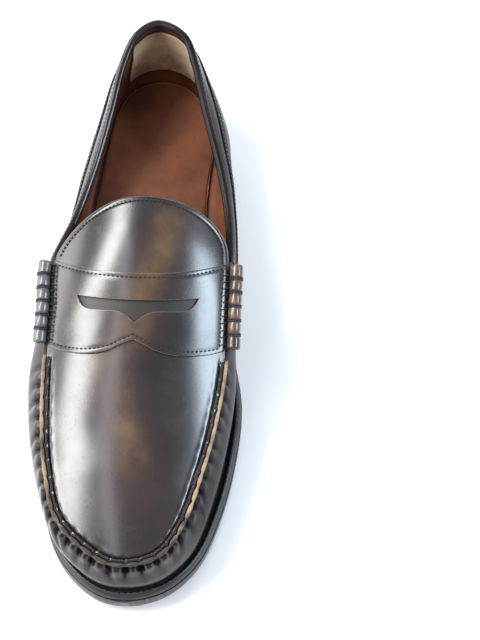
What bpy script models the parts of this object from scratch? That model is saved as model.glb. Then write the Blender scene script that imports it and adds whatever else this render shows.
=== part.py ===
"""Penny loafer for a right foot: a welted, stack-heeled slip-on with a moccasin apron.

The toe points to -Y, the inner (medial) side is +X, and the shoe stands on z = 0.
Design sizes are millimetres and become metres when a mesh is made. The shape hangs on
one set of ribs round the shoe: rib 0 is the toe tip, rib 13 the back of the heel, and
rib 26 - n faces rib n across the shoe.
"""

import math

import bmesh
import bpy
from mathutils import Matrix, Vector

MM = 0.001
GAP = 0.4  # clearance between pieces that touch on the real shoe

# Each rib: sole edge x, y; upper's top edge x, y; lower and upper bulge of the wall; welt width.
RIBS = (
    (-3.0, -152.4, -3.0, -140.0, 2.5, 2.5, 4.8),
    (17.5, -146.3, 15.0, -134.0, 2.5, 2.5, 4.8),
    (33.5, -129.4, 26.5, -117.0, 3.0, 3.0, 5.0),
    (43.7, -103.2, 34.5, -92.0, 4.0, 4.0, 6.2),
    (50.5, -72.0, 40.7, -66.0, 4.5, 4.5, 7.0),
    (52.9, -41.0, 45.0, -37.0, 5.5, 4.5, 6.8),
    (48.0, -12.0, 45.6, -10.0, 8.0, 4.0, 5.5),
    (42.5, 18.0, 45.9, 17.0, 11.0, 5.0, 4.0),
    (39.0, 46.0, 44.0, 45.0, 12.0, 7.0, 3.5),
    (38.5, 75.0, 38.4, 74.0, 12.0, 9.0, 3.2),
    (40.5, 103.0, 30.0, 103.0, 9.0, 9.0, 3.0),
    (35.0, 128.0, 23.8, 127.0, 4.5, 5.5, 3.0),
    (23.0, 145.5, 17.0, 142.0, 4.0, 5.0, 3.0),
    (3.5, 152.0, 2.0, 149.4, 4.0, 4.0, 3.0),
    (-16.5, 145.5, -10.6, 141.5, 4.0, 4.5, 3.0),
    (-28.3, 128.0, -17.6, 127.0, 3.5, 4.5, 3.0),
    (-33.0, 103.0, -23.2, 103.0, 5.5, 6.5, 3.0),
    (-37.3, 75.0, -30.2, 74.0, 8.0, 8.0, 3.5),
    (-42.0, 46.0, -39.0, 45.0, 6.0, 5.5, 4.0),
    (-49.0, 18.0, -48.6, 17.0, 7.5, 6.0, 4.5),
    (-54.5, -11.0, -49.2, -10.0, 9.0, 8.5, 5.0),
    (-56.5, -41.0, -50.4, -37.0, 12.0, 12.0, 5.5),
    (-55.0, -72.0, -49.8, -66.0, 9.5, 9.5, 5.0),
    (-49.5, -101.0, -46.7, -92.0, 6.6, 6.6, 4.6),
    (-38.9, -128.9, -38.9, -117.0, 5.0, 5.0, 4.2),
    (-21.5, -147.2, -19.0, -135.3, 3.0, 3.0, 4.4),
)
RIB_COUNT = len(RIBS)
HEEL_RIB = RIB_COUNT // 2
THROAT_RIB = 7.0  # where the apron, the strap and the topline meet
SIDE_SEAM_RIB = 7.05
BINDING_RIB = 7.27

# Sole underside along the shoe.
TOE_SPRING, TREAD_FRONT, TREAD_BACK, TOE_Y = 9.6, -85.0, -45.0, -152.4
BREAST_Y, HEEL_HEIGHT, SEAT_SLOPE = 73.0, 20.0, 0.03

# Sole layers, counted up from the sole's underside.
OUTSOLE_THICK, WELT_THICK, INSOLE_THICK = 5.0, 3.0, 3.0
WELT_BEVEL = 1.8
WELT_LOW = OUTSOLE_THICK + GAP
WELT_HIGH = WELT_LOW + WELT_THICK
WALL_LOW = WELT_HIGH + GAP
LEATHER = 1.6
LASTING_MARGIN = 9.0
CORK_HIGH = WALL_LOW + LEATHER
INSOLE_LOW = CORK_HIGH + GAP
INSOLE_HIGH = INSOLE_LOW + INSOLE_THICK
SOCK_THICK = 1.0

# Instep surface: ridge height, ridge x and how fast it falls to the sides, against y.
RIDGE_Z = ((-139, 37), (-125, 41.3), (-97, 47.2), (-70, 52.4), (-31, 64), (0, 75.3), (20, 80.6), (42, 84.2))
RIDGE_X = ((-139, 0), (-115, -3), (-92, -4.8), (-66, -5), (-37, -4), (-10, -2), (17, -0.5), (42, 0))
FALL = ((-139, 0.0078), (-120, 0.0066), (-92, 0.0058), (-66, 0.0058), (-37, 0.0066), (-10, 0.0074),
        (17, 0.0086), (42, 0.0093))
TOPLINE_Z = ((17, 61), (25, 59.2), (42, 58.4), (60, 59.8), (80, 63.6), (103, 71.8), (125, 81.5), (140, 87),
             (146, 88.6))
TONGUE_REACH = 27.4
TONGUE_CORNER = {1: 0.75, -1: 1.45}  # fullness of the tongue's outline on each side

# Strap, in shares of its half width (0 the middle, 1 the seam) against y.
STRAP_FRONT = ((0.0, -29.4), (0.14, -31.9), (0.26, -34.3), (0.44, -35.6), (0.62, -35.0), (0.83, -32.4), (1.0, -28.8))
STRAP_REAR, STRAP_REAR_SAG, STRAP_REAR_POWER = 2.2, 13.3, 2.2
SLOT_HALF, SLOT_Y, SLOT_BOW = 0.70, -10.8, 4.6
SLOT_DEPTH = ((0.0, 10.8), (0.04, 9.4), (0.09, 7.7), (0.17, 6.0), (0.28, 5.6), (0.42, 5.8), (0.55, 5.9),
              (0.62, 5.0), (0.665, 3.2), (0.69, 1.3), (0.7, 0.0))
STRAP_LIFT = 0.7
STRAP_END = 2.5  # the strap stops this far inside the seam, beside the roll

ROLL_FRONT_Y, ROLL_REAR_Y = -27.5, 14.5
ROLL_OUT, ROLL_UP = 2.2, 4.0
ROLL_RADIUS, ROLL_WAIST, ROLL_BORE = 3.4, 2.8, 1.3
WRAPS = 5
WRAP_RADIUS = 0.45

COLLAR_SHARE = 0.72  # share of the wall's height where the quarter ends and the collar starts
LEVELS = (0.0, 0.12, 0.24, 0.36, 0.48, 0.6, COLLAR_SHARE)  # heights shared by the layers of the back
COLLAR_LEVELS = (COLLAR_SHARE + 0.015, 0.86, 1.0)
COLLAR_STEP, COLLAR_THICK = 0.6, 0.9
LINING_INSET, LINING_THICK, COUNTER_ROOM, VAMP_LINING_EXTRA = 1.95, 0.8, 1.4, 0.6
BINDING_THICK, BINDING_SPAN, BINDING_DEPTH = 0.4, 3.7, 3.0
COUNTER_FIRST, COUNTER_LAST, COUNTER_TOP = 10.0, 16.0, 0.6
LIP_HEIGHT, LIP_LEFT_UNDER_STRAP = 3.0, 0.3

LIFT_THICK, TOP_LIFT_THICK, HEEL_TAPER = 4.0, 6.0, 0.5
NAIL_RADIUS, NAIL_LENGTH = 1.1, 4.0

FRAME_SHIFT = Vector((3.4, -0.6, 0.0))  # centres the finished box on x = 0, y = 0

LEATHER_BLACK = ("burnished_leather", (0.035, 0.022, 0.020), 0.25, 0.0)
EDGE_BLACK = ("edge_dressed_leather", (0.02, 0.02, 0.021), 0.4, 0.0)
LINING_TAN = ("lining_leather", (0.55, 0.27, 0.11), 0.6, 0.0)
GRIP_TAN = ("heel_grip_suede", (0.62, 0.42, 0.22), 0.9, 0.0)
SOLE_TAN = ("sole_leather", (0.50, 0.30, 0.16), 0.55, 0.0)
CORK = ("cork", (0.45, 0.28, 0.15), 0.9, 0.0)
RUBBER = ("heel_rubber", (0.02, 0.02, 0.02), 0.7, 0.0)
STEEL = ("spring_steel", (0.5, 0.5, 0.52), 0.35, 1.0)
BRASS = ("brass", (0.78, 0.57, 0.28), 0.3, 1.0)
THREAD = ("waxed_thread", (0.03, 0.026, 0.024), 0.5, 0.0)
BOARD = ("counter_board", (0.42, 0.33, 0.24), 0.85, 0.0)


def clear_scene():
    for obj in list(bpy.data.objects):
        bpy.data.objects.remove(obj)


def material(finish):
    name, colour, roughness, metallic = finish
    found = bpy.data.materials.get(name)
    if found:
        return found
    made = bpy.data.materials.new(name)
    made.use_nodes = True
    shader = made.node_tree.nodes["Principled BSDF"]
    shader.inputs["Base Color"].default_value = (*colour, 1.0)
    shader.inputs["Roughness"].default_value = roughness
    shader.inputs["Metallic"].default_value = metallic
    return made


def mix(a, b, share):
    return a + (b - a) * share


def ramp(x, low, high):
    """0 below low, 1 above high, and smooth between."""
    share = min(1.0, max(0.0, (x - low) / (high - low)))
    return share * share * (3 - 2 * share)


def curve(points, x):
    """Smooth line through (x, value) points, level outside them."""
    if x <= points[0][0]:
        return points[0][1]
    if x >= points[-1][0]:
        return points[-1][1]
    last = len(points) - 1
    i = max(n for n in range(last) if points[n][0] <= x)

    def slope(n):
        a, b = points[max(n - 1, 0)], points[min(n + 1, last)]
        return (b[1] - a[1]) / (b[0] - a[0])

    (x0, v0), (x1, v1) = points[i], points[i + 1]
    width = x1 - x0
    s = (x - x0) / width
    return (
        v0 * (1 + 2 * s) * (1 - s) ** 2
        + slope(i) * width * s * (1 - s) ** 2
        + v1 * s * s * (3 - 2 * s)
        + slope(i + 1) * width * s * s * (s - 1)
    )


def rib(t):
    """The ribs' values at any place t round the shoe."""
    i = math.floor(t)
    s = t - i
    a, b, c, d = (RIBS[(i + n) % RIB_COUNT] for n in (-1, 0, 1, 2))
    return [
        0.5 * (2 * q + (r - p) * s + (2 * p - 5 * q + 4 * r - u) * s * s + (3 * q - p - 3 * r + u) * s**3)
        for p, q, r, u in zip(a, b, c, d)
    ]


def sole_edge(t, inset=0.0):
    """A point on the sole's outline, moved in by inset."""
    row = rib(t)
    out = outward(t)
    return Vector((row[0], row[1])) - out * inset


def outward(t, column=0):
    """Level unit vector out of the shoe, square to the sole's edge, or to the top edge with column 2."""
    before, after = rib(t - 0.05), rib(t + 0.05)
    along = Vector((after[column] - before[column], after[column + 1] - before[column + 1])).normalized()
    return Vector((along.y, -along.x))


def feather(t, inset=0.0):
    """The line where the upper meets the welt, moved in by inset."""
    return sole_edge(t, rib(t)[6] + inset)


def sole_bottom(y):
    """Height of the sole's underside."""
    y = max(y, TOE_Y)
    if y < TREAD_FRONT:
        return TOE_SPRING * ((TREAD_FRONT - y) / (TREAD_FRONT - TOE_Y)) ** 1.8
    return HEEL_HEIGHT * ramp(y, TREAD_BACK, BREAST_Y) + SEAT_SLOPE * max(0.0, y - BREAST_Y)


def lifted(p, height):
    """The point over plan point p at this height above the sole's underside, square to it."""
    slope = sole_bottom(p.y + 0.5) - sole_bottom(p.y - 0.5)
    reach = height / math.hypot(1, slope)
    return Vector((p.x, p.y - reach * slope, sole_bottom(p.y) + reach))


def instep(x, y):
    """Height of the apron's outer surface."""
    return curve(RIDGE_Z, y) - curve(FALL, y) * (x - curve(RIDGE_X, y)) ** 2


def top_edge(t):
    """The upper's top edge: the apron seam in front of the throat, the topline behind it."""
    row = rib(t)
    x, y = row[2], row[3]
    behind = THROAT_RIB < t % RIB_COUNT < RIB_COUNT - THROAT_RIB
    return Vector((x, y, curve(TOPLINE_Z, y) if behind else instep(x, y)))


def wall_surface(t, h):
    """The upper's outer wall, h from 0 at the welt to 1 at the top edge."""
    row = rib(t)
    out = outward(t).to_3d()
    foot = lifted(feather(t), WALL_LOW)
    top = top_edge(t)
    rise = Vector((0, 0, top.z - foot.z))
    low = foot + out * row[4] + rise * 0.38
    high = top + out * row[5] - rise * 0.32
    k = 1 - h
    return foot * k**3 + low * (3 * k * k * h) + high * (3 * k * h * h) + top * h**3


def wall_frame(t, h):
    """Outward normal and upward tangent of the wall."""
    step = 0.02
    along = wall_surface(t + step, h) - wall_surface(t - step, h)
    up = (wall_surface(t, min(1.0, h + step)) - wall_surface(t, max(0.0, h - step))).normalized()
    return along.cross(up).normalized(), up


def wall(t, h, inset=0.0):
    """A point of the wall, moved in along its normal."""
    return wall_surface(t, h) - wall_frame(t, h)[0] * inset


def finish(name, bm, look, closed=True):
    """A mesh object from a bmesh in design sizes. An open sheet must already face out."""
    if closed:
        bmesh.ops.remove_doubles(bm, verts=bm.verts, dist=0.01)
        bmesh.ops.recalc_face_normals(bm, faces=bm.faces)
    bmesh.ops.transform(bm, matrix=Matrix.Translation(FRAME_SHIFT), verts=bm.verts)
    bmesh.ops.scale(bm, vec=Vector((MM, MM, MM)), verts=bm.verts)
    mesh = bpy.data.meshes.new(name)
    bm.to_mesh(mesh)
    bm.free()
    mesh.shade_smooth()
    mesh.set_sharp_from_angle(angle=math.radians(40))
    mesh.materials.append(material(look))
    obj = bpy.data.objects.new(name, mesh)
    bpy.context.scene.collection.objects.link(obj)
    return obj


def add_grid(bm, rows, loop=False, ring=False):
    """Faces over rows of points. loop closes each row on itself, and ring the last row on the first."""
    made = [[bm.verts.new(point) for point in row] for row in rows]
    count = len(made[0])
    last_row = len(made) if ring else len(made) - 1
    for i in range(last_row):
        here, there = made[i], made[(i + 1) % len(made)]
        for j in range(count if loop else count - 1):
            bm.faces.new((here[j], there[j], there[(j + 1) % count], here[(j + 1) % count]))
    return made


def add_solidify(obj, thickness, even=True):
    """Gives a sheet its thickness on the inner side."""
    made = obj.modifiers.new("Thickness", "SOLIDIFY")
    made.thickness = thickness * MM
    made.offset = -1.0
    made.use_even_offset = even
    made.use_rim = True


def sheet(name, rows, thickness, look, even=True):
    """A sheet of leather from rows of points that face out, thickened inwards."""
    bm = bmesh.new()
    add_grid(bm, rows)
    bmesh.ops.remove_doubles(bm, verts=bm.verts, dist=0.01)
    obj = finish(name, bm, look, closed=False)
    add_solidify(obj, thickness, even)
    return obj


def stations(first, last, count):
    return [mix(first, last, i / (count - 1)) for i in range(count)]


def crowded(first, last, count):
    """Stations that crowd together towards both ends."""
    shares = stations(0, 1, count)
    return [mix(first, last, mix(share, 0.5 - 0.5 * math.cos(math.pi * share), 0.75)) for share in shares]


def ladder(edge, values, across):
    """Plan points on rungs from edge(value, +1) on the medial side to edge(value, -1)."""
    return [[edge(v, 1).lerp(edge(v, -1), j / across) for j in range(across + 1)] for v in values]


def slab(name, rungs, low, high, look):
    """A layer of the bottom: rungs of plan points carried to a lower and an upper surface."""
    bm = bmesh.new()
    add_grid(bm, [[p.to_3d() for p in row] for row in rungs])
    bmesh.ops.remove_doubles(bm, verts=bm.verts, dist=0.01)
    rim = [loop for face in bm.faces for loop in face.loops if loop.edge.is_boundary]
    sides = [(loop.link_loop_next.vert, loop.vert) for loop in rim]
    faces = bm.faces[:]
    lower = {v: bm.verts.new(low(v.co)) for v in bm.verts[:]}
    for face in faces:
        bm.faces.new([lower[v] for v in reversed(face.verts)])
    for a, b in sides:
        bm.faces.new((a, b, lower[b], lower[a]))
    for v in lower:
        v.co = high(v.co)
    return finish(name, bm, look, closed=False)


def layer(height):
    """Carries a plan point to a surface that follows the sole's underside."""
    return lambda p: lifted(p, height)


def level(z):
    """Carries a plan point to a level surface."""
    return lambda p: Vector((p.x, p.y, z))


def cut(obj, cutter):
    """Removes cutter's shape from obj."""
    cutter.hide_render = True
    cutter.display_type = "WIRE"
    made = obj.modifiers.new("Cut", "BOOLEAN")
    made.operation = "DIFFERENCE"
    made.solver = "EXACT"
    made.object = cutter


def side(t, sign):
    """The rib place on the medial side for +1, and the one facing it for -1."""
    return t if sign > 0 else RIB_COUNT - t


# ---- bottom ----


def build_outsole():
    rungs = ladder(lambda t, s: sole_edge(side(t, s)), crowded(0, HEEL_RIB, 39), 4)
    slab("outsole", rungs, layer(0.0), layer(OUTSOLE_THICK), SOLE_TAN)


def build_welt_strip(name, first, last, count):
    """A strip of welt between two ribs, from under the upper to the sole's edge."""
    bm = bmesh.new()
    rows = []
    for t in stations(first, last, count):
        inner, outer = feather(t, 2.0), sole_edge(t, 0.5)
        bevel = sole_edge(t, WELT_BEVEL)
        corners = ((inner, WELT_LOW), (outer, WELT_LOW), (bevel, WELT_HIGH), (inner, WELT_HIGH))
        rows.append([lifted(p, height) for p, height in corners])
    made = add_grid(bm, rows, loop=True)
    bm.faces.new(made[0])
    bm.faces.new(made[-1])
    return finish(name, bm, EDGE_BLACK)


def build_cork():
    rungs = ladder(
        lambda t, s: feather(side(t, s), LASTING_MARGIN + 1.6), crowded(0, HEEL_RIB, 31), 4
    )
    cork = slab("cork_filler", rungs, layer(OUTSOLE_THICK + GAP), layer(CORK_HIGH - GAP), CORK)
    cut(cork, build_shank("shank_pocket", GAP, CORK))


def build_shank(name, spread, look):
    """A spring strip under the arch; with a spread it is the pocket that holds it."""
    half, first, last = 6.5 + spread, 4.0 - spread, 104.0 + spread
    rungs = [[Vector((x, y)) for x in (half, -half)] for y in stations(first, last, 13)]
    low = layer(OUTSOLE_THICK + GAP - (2.0 if spread else -1.4))
    high = layer(OUTSOLE_THICK + GAP + (12.0 if spread else 3.0))
    return slab(name, rungs, low, high, look)


def build_insole():
    rungs = ladder(lambda t, s: feather(side(t, s), 4.8), crowded(0, HEEL_RIB, 33), 4)
    slab("insole", rungs, layer(INSOLE_LOW), layer(INSOLE_HIGH), SOLE_TAN)


def build_sock():
    """The sock lining covers the insole from under the instep back to the heel."""
    rungs = ladder(lambda t, s: feather(side(t, s), 5.6), crowded(6.0, HEEL_RIB, 25), 4)
    low = INSOLE_HIGH + GAP
    slab("sock_lining", rungs, layer(low), layer(low + SOCK_THICK), LINING_TAN)


def heel_rungs(inset):
    """Rungs of the heel seat, whose front edge curves back in the middle."""
    rungs = ladder(lambda t, s: sole_edge(side(t, s), inset), crowded(8.9, HEEL_RIB, 13), 6)
    for k, row in enumerate(rungs[:4]):
        for j, point in enumerate(row):
            point.y += 4.0 * (1 - k / 4) * (1 - (2 * j / 6 - 1) ** 2)
    return rungs


def under_seat(p):
    """Carries a plan point to just under the outsole."""
    return Vector((p.x, p.y, sole_bottom(p.y) - GAP))


def build_heel():
    top_lift = slab("heel_top_lift", heel_rungs(1.6), level(0.0), level(TOP_LIFT_THICK), RUBBER)
    low = TOP_LIFT_THICK + GAP
    for n in range(3):
        inset = 1.6 - HEEL_TAPER * (n + 1)
        high = under_seat if n == 2 else level(low + LIFT_THICK)
        slab(f"heel_lift_{n + 1}", heel_rungs(inset), level(low), high, EDGE_BLACK)
        low += LIFT_THICK + GAP
    build_nails(top_lift)


def rod(name, x, y, low, high, radius, look):
    bm = bmesh.new()
    bmesh.ops.create_cone(
        bm, cap_ends=True, segments=10, radius1=radius, radius2=radius, depth=high - low,
        matrix=Matrix.Translation((x, y, (low + high) / 2)),
    )
    return finish(name, bm, look)


def build_nails(top_lift):
    """Slug nails that hold the top lift, set flush in blind holes round its edge."""
    for n, t in enumerate((9.9, 11.5, HEEL_RIB, 14.5, 16.1)):
        p = sole_edge(t, 9.0)
        hole = rod(f"nail_hole_{n + 1}", p.x, p.y, -1.0, NAIL_LENGTH + GAP, NAIL_RADIUS + GAP, BRASS)
        cut(top_lift, hole)
        rod(f"heel_nail_{n + 1}", p.x, p.y, 0.2, NAIL_LENGTH, NAIL_RADIUS, BRASS)


# ---- upper ----


def lip_height(t):
    """How far the gathered edge stands above the seam. It is trimmed off under the strap."""
    y = rib(t)[3]
    return mix(LIP_HEIGHT, LIP_LEFT_UNDER_STRAP, ramp(y, ROLL_FRONT_Y - 9, ROLL_FRONT_Y - 3))


def wall_column(t, levels, inset=0.0, margin=0.0, lip=False):
    """Points up the wall at one place, with the lasting margin turned in below and the lip above."""
    points = [wall(t, h, inset) for h in levels]
    if margin:
        points.insert(0, lifted(feather(t, margin), WALL_LOW))
    if lip:
        points.append(points[-1] + Vector((0, 0, lip_height(t))))
    return points


def build_sidewall():
    """The moccasin sidewall: one piece round the toe from side seam to side seam."""
    rows = [
        wall_column(t, stations(0.0, 1.0, 7), margin=LASTING_MARGIN, lip=True)
        for t in stations(-SIDE_SEAM_RIB, SIDE_SEAM_RIB, 45)
    ]
    sheet("vamp_sidewall", rows, LEATHER, LEATHER_BLACK)


def back_places(name, seam=0.04, back_gap=0.03):
    """Stations of one side of the back, from the side seam to the back seam."""
    places = stations(SIDE_SEAM_RIB + seam, HEEL_RIB - back_gap, 23)
    return places if name == "medial" else [RIB_COUNT - t for t in reversed(places)]


def build_quarters():
    for name in ("medial", "lateral"):
        lower = [wall_column(t, LEVELS, margin=LASTING_MARGIN - 1) for t in back_places(name)]
        sheet(f"quarter_{name}", lower, LEATHER, LEATHER_BLACK)
        upper = [wall_column(t, COLLAR_LEVELS, inset=COLLAR_STEP) for t in back_places(name)]
        sheet(f"collar_{name}", upper, COLLAR_THICK, LEATHER_BLACK)


def build_kicker():
    """The reinforcing patch over the back seam."""
    rows = []
    for t in stations(HEEL_RIB - 0.72, HEEL_RIB + 0.72, 9):
        reach = max(0.0, 1 - abs(t - HEEL_RIB) / 0.72)
        top = mix(0.40, 0.62, reach**0.6)
        rows.append([wall(t, h, -GAP - 1.2) for h in stations(0.03, top, 5)])
    sheet("heel_kicker", rows, 1.2, LEATHER_BLACK)


def seam_place(y, sign):
    """The rib place where the apron seam passes y, found by halving."""
    low, high = 0.5, 8.0
    for _ in range(30):
        middle = (low + high) / 2
        if rib(side(middle, sign))[3] < y:
            low = middle
        else:
            high = middle
    return side((low + high) / 2, sign)


def apron_edge(inset):
    """The apron's outline on one side: seam from the toe to the throat, then the tongue's arc."""

    def edge(share, sign):
        seam_part = 0.7
        if share <= seam_part:
            t = side(THROAT_RIB * share / seam_part, sign)
            p = top_edge(t).to_2d()
            return p - outward(t, 2) * inset
        corner = top_edge(side(THROAT_RIB, sign)).to_2d() - outward(side(THROAT_RIB, sign), 2) * inset
        corner.y = RIBS[int(THROAT_RIB)][3]
        turn = math.radians(90) * (share - seam_part) / (1 - seam_part)
        reach = TONGUE_REACH - max(0.0, inset - 2.0)
        return Vector((corner.x * math.cos(turn), corner.y + reach * math.sin(turn) ** TONGUE_CORNER[sign]))

    return edge


def build_apron():
    """The plug of the moccasin, whose free rear end is the tongue."""
    for name, inset, drop, thickness, rungs, across, look in (
        ("apron", LEATHER + GAP, 0.0, LEATHER, 27, 8, LEATHER_BLACK),
        ("apron_lining", LEATHER + 3.4, LEATHER + 1.0, 0.9, 19, 6, LINING_TAN),
    ):
        plan = ladder(apron_edge(inset), crowded(0, 1, rungs), across)
        rows = [[Vector((p.x, p.y, instep(p.x, p.y) - drop)) for p in row] for row in plan]
        sheet(name, rows, thickness, look, even=False)


def strap_point(a, y, lift):
    """A point over the instep at share a of the half width."""
    edge = top_edge(seam_place(y, 1 if a > 0 else -1)).x
    middle = curve(RIDGE_X, y)
    x = mix(middle, edge, abs(a) * (1 - STRAP_END / abs(edge - middle)))
    return Vector((x, y, instep(x, y) + lift))


def build_strap():
    """The saddle strap, with its lip-shaped coin slot left open between two bands of faces."""
    half = [0, 0.04, 0.09, 0.17, 0.28, 0.42, 0.55, 0.62, 0.665, 0.69, SLOT_HALF, 0.78, 0.86, 0.93, 1.0]
    shares = [-a for a in half[:0:-1]] + half
    lift = STRAP_LIFT + LEATHER
    front_rows, rear_rows = [], []
    for a in shares:
        u = abs(a)
        slot_high = SLOT_Y + SLOT_BOW * (u / SLOT_HALF) ** 2
        slot_low = slot_high - curve(SLOT_DEPTH, u)
        front, rear = curve(STRAP_FRONT, u), STRAP_REAR + STRAP_REAR_SAG * u**STRAP_REAR_POWER
        front_rows.append([strap_point(a, y, lift) for y in stations(front, slot_low, 4)])
        rear_rows.append([strap_point(a, y, lift) for y in stations(slot_high, rear, 4)])
    bm = bmesh.new()
    for rows in (front_rows, rear_rows):
        add_grid(bm, rows)
    bmesh.ops.remove_doubles(bm, verts=bm.verts, dist=0.01)
    obj = finish("saddle_strap", bm, LEATHER_BLACK, closed=False)
    add_solidify(obj, LEATHER)


def roll_centre(y, sign):
    """The axis of the beef roll, which lies outside and above the seam."""
    t = seam_place(y, sign)
    return top_edge(t) + outward(t, 2).to_3d() * ROLL_OUT + Vector((0, 0, ROLL_UP))


def roll_frame(y, sign):
    """Two unit vectors across the roll."""
    along = (roll_centre(y + 1, sign) - roll_centre(y - 1, sign)).normalized()
    across = along.cross(Vector((0, 0, 1))).normalized()
    return along, across, across.cross(along)


def circle(centre, across, up, radius, count):
    turns = (2 * math.pi * k / count for k in range(count))
    return [centre + across * (radius * math.cos(a)) + up * (radius * math.sin(a)) for a in turns]


def build_rolls():
    """A beef roll at each end of the strap: rolled leather drawn in by waxed thread."""
    cells = WRAPS + 1
    per_cell = 3
    steps = cells * per_cell
    for name, sign in (("medial", 1), ("lateral", -1)):
        outside, inside = [], []
        for k in range(steps + 1):
            y = mix(ROLL_FRONT_Y, ROLL_REAR_Y, k / steps)
            _, across, up = roll_frame(y, sign)
            belly = 1.0 if k in (0, steps) else abs(math.sin(math.pi * k / per_cell)) ** 0.6
            centre = roll_centre(y, sign)
            outside.append(circle(centre, across, up, mix(ROLL_WAIST, ROLL_RADIUS, belly), 10))
            inside.append(circle(centre, across, up, ROLL_BORE, 10))
        bm = bmesh.new()
        add_grid(bm, outside + inside[::-1], loop=True, ring=True)
        finish(f"beef_roll_{name}", bm, LEATHER_BLACK)
        for n in range(WRAPS):
            y = mix(ROLL_FRONT_Y, ROLL_REAR_Y, (n + 1) / cells)
            along, across, up = roll_frame(y, sign)
            middle = ROLL_WAIST + 0.3 + WRAP_RADIUS
            rows = []
            for k in range(14):
                turn = 2 * math.pi * k / 14
                out = across * math.cos(turn) + up * math.sin(turn)
                rows.append(circle(roll_centre(y, sign) + out * middle, out, along, WRAP_RADIUS, 5))
            bm = bmesh.new()
            add_grid(bm, rows, loop=True, ring=True)
            finish(f"roll_wrap_{name}_{n + 1}", bm, THREAD)


def lining_inset(t, h):
    """The lining stands further in where the heel counter lies behind it."""
    near = ramp(t, COUNTER_FIRST - 0.7, COUNTER_FIRST - 0.1) * (1 - ramp(t, COUNTER_LAST + 0.1, COUNTER_LAST + 0.7))
    return LINING_INSET + COUNTER_ROOM * near * (1 - ramp(h, COUNTER_TOP + 0.03, COUNTER_TOP + 0.2))


def lining_column(t, levels, deeper=0.0):
    """Points up the lining, which starts just above the margin turned in under the insole."""
    start = 1.9 / (top_edge(t).z - wall_surface(t, 0).z)
    return [wall(t, max(h, start), lining_inset(t, h) + deeper) for h in levels]


def build_linings():
    levels = (*LEVELS, 0.86, 0.995)
    for name in ("medial", "lateral"):
        places = back_places(name)
        front = [6.7, 6.9] if name == "medial" else [RIB_COUNT - 6.9, RIB_COUNT - 6.7]
        rows = [lining_column(t, levels) for t in sorted(places + front)]
        sheet(f"quarter_lining_{name}", rows, LINING_THICK, LINING_TAN)
    rows = [lining_column(t, stations(0.0, 0.86, 6), VAMP_LINING_EXTRA) for t in stations(-6.66, 6.66, 31)]
    sheet("vamp_lining", rows, LINING_THICK, LINING_TAN)
    near = [t for t in back_places("medial") if t > HEEL_RIB - 1.3]
    places = near + [RIB_COUNT - t for t in reversed(near)]
    rows = [lining_column(t, (0.24, 0.36, 0.48, 0.6, COLLAR_SHARE, 0.86), LINING_THICK + 0.6) for t in places]
    sheet("heel_grip", rows, 0.8, GRIP_TAN)


def build_counter():
    """The stiff counter between quarter and lining round the heel."""
    near = [t for t in back_places("medial") if t > COUNTER_FIRST]
    places = near + [RIB_COUNT - t for t in reversed(near)]
    rows = [[wall(t, h, LEATHER + 0.35) for h in (0.05, *LEVELS[1:-1])] for t in places]
    sheet("heel_counter", rows, 1.0, BOARD)


def build_binding():
    """The topline binding, a channel folded over collar and lining."""
    outer, inner = -0.15, BINDING_SPAN - 0.15
    section = (
        (outer, -BINDING_DEPTH), (outer, 0.4), (outer + 0.5, 0.9), (inner - 0.5, 0.9), (inner, 0.4),
        (inner, -BINDING_DEPTH), (inner - BINDING_THICK, -BINDING_DEPTH), (inner - BINDING_THICK, 0.3),
        (outer + BINDING_THICK, 0.3), (outer + BINDING_THICK, -BINDING_DEPTH),
    )
    front = [BINDING_RIB] + [t for t in back_places("medial") if t > BINDING_RIB]
    places = front + [RIB_COUNT - t for t in reversed(front)]
    rows = []
    for t in places:
        out, up = wall_frame(t, 1.0)
        rows.append([wall_surface(t, 1.0) - out * inset + up * rise for inset, rise in section])
    bm = bmesh.new()
    made = add_grid(bm, rows, loop=True)
    bm.faces.new(made[0])
    bm.faces.new(made[-1])
    finish("topline_binding", bm, LEATHER_BLACK)


def build_apron_thread():
    """The hand-sewn thread that lies between the apron and the raised edge."""
    rows = []
    for t in stations(-5.1, 5.1, 57):
        out = outward(t, 2)
        p = top_edge(t).to_2d() - out * (LEATHER + GAP + 1.0)
        centre = Vector((p.x, p.y, instep(p.x, p.y) + 0.35 + 0.55))
        rows.append(circle(centre, out.to_3d(), Vector((0, 0, 1)), 0.55, 5))
    bm = bmesh.new()
    made = add_grid(bm, rows, loop=True)
    bm.faces.new(made[0])
    bm.faces.new(made[-1])
    finish("apron_thread", bm, THREAD)


def main():
    clear_scene()
    build_outsole()
    build_welt_strip("welt", -9.0, 9.0, 45)
    build_welt_strip("heel_rand", 9.05, RIB_COUNT - 9.05, 19)
    build_cork()
    build_shank("shank", 0.0, STEEL)
    build_insole()
    build_sock()
    build_heel()
    build_sidewall()
    build_quarters()
    build_kicker()
    build_apron()
    build_strap()
    build_rolls()
    build_linings()
    build_counter()
    build_binding()
    build_apron_thread()


main()
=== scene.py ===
"""A penny loafer: burnished leather upper, hand-sewn seam, saddle strap, beef rolls and welted sole.

Sizes in the shape functions are millimetres on the shoemaker's last, and metres() carries a point to
the shoe's frame. The toe points to -Y and the inner (medial) side is +X. A rib place counts the ribs
from the toe tip, 0, by the medial side to the heel and back; the wall's height runs from 0 at the welt
to 1 at the top edge.
"""

import math
import random
from functools import lru_cache

import bpy
from mathutils import Matrix, Quaternion, Vector, kdtree, noise


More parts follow.
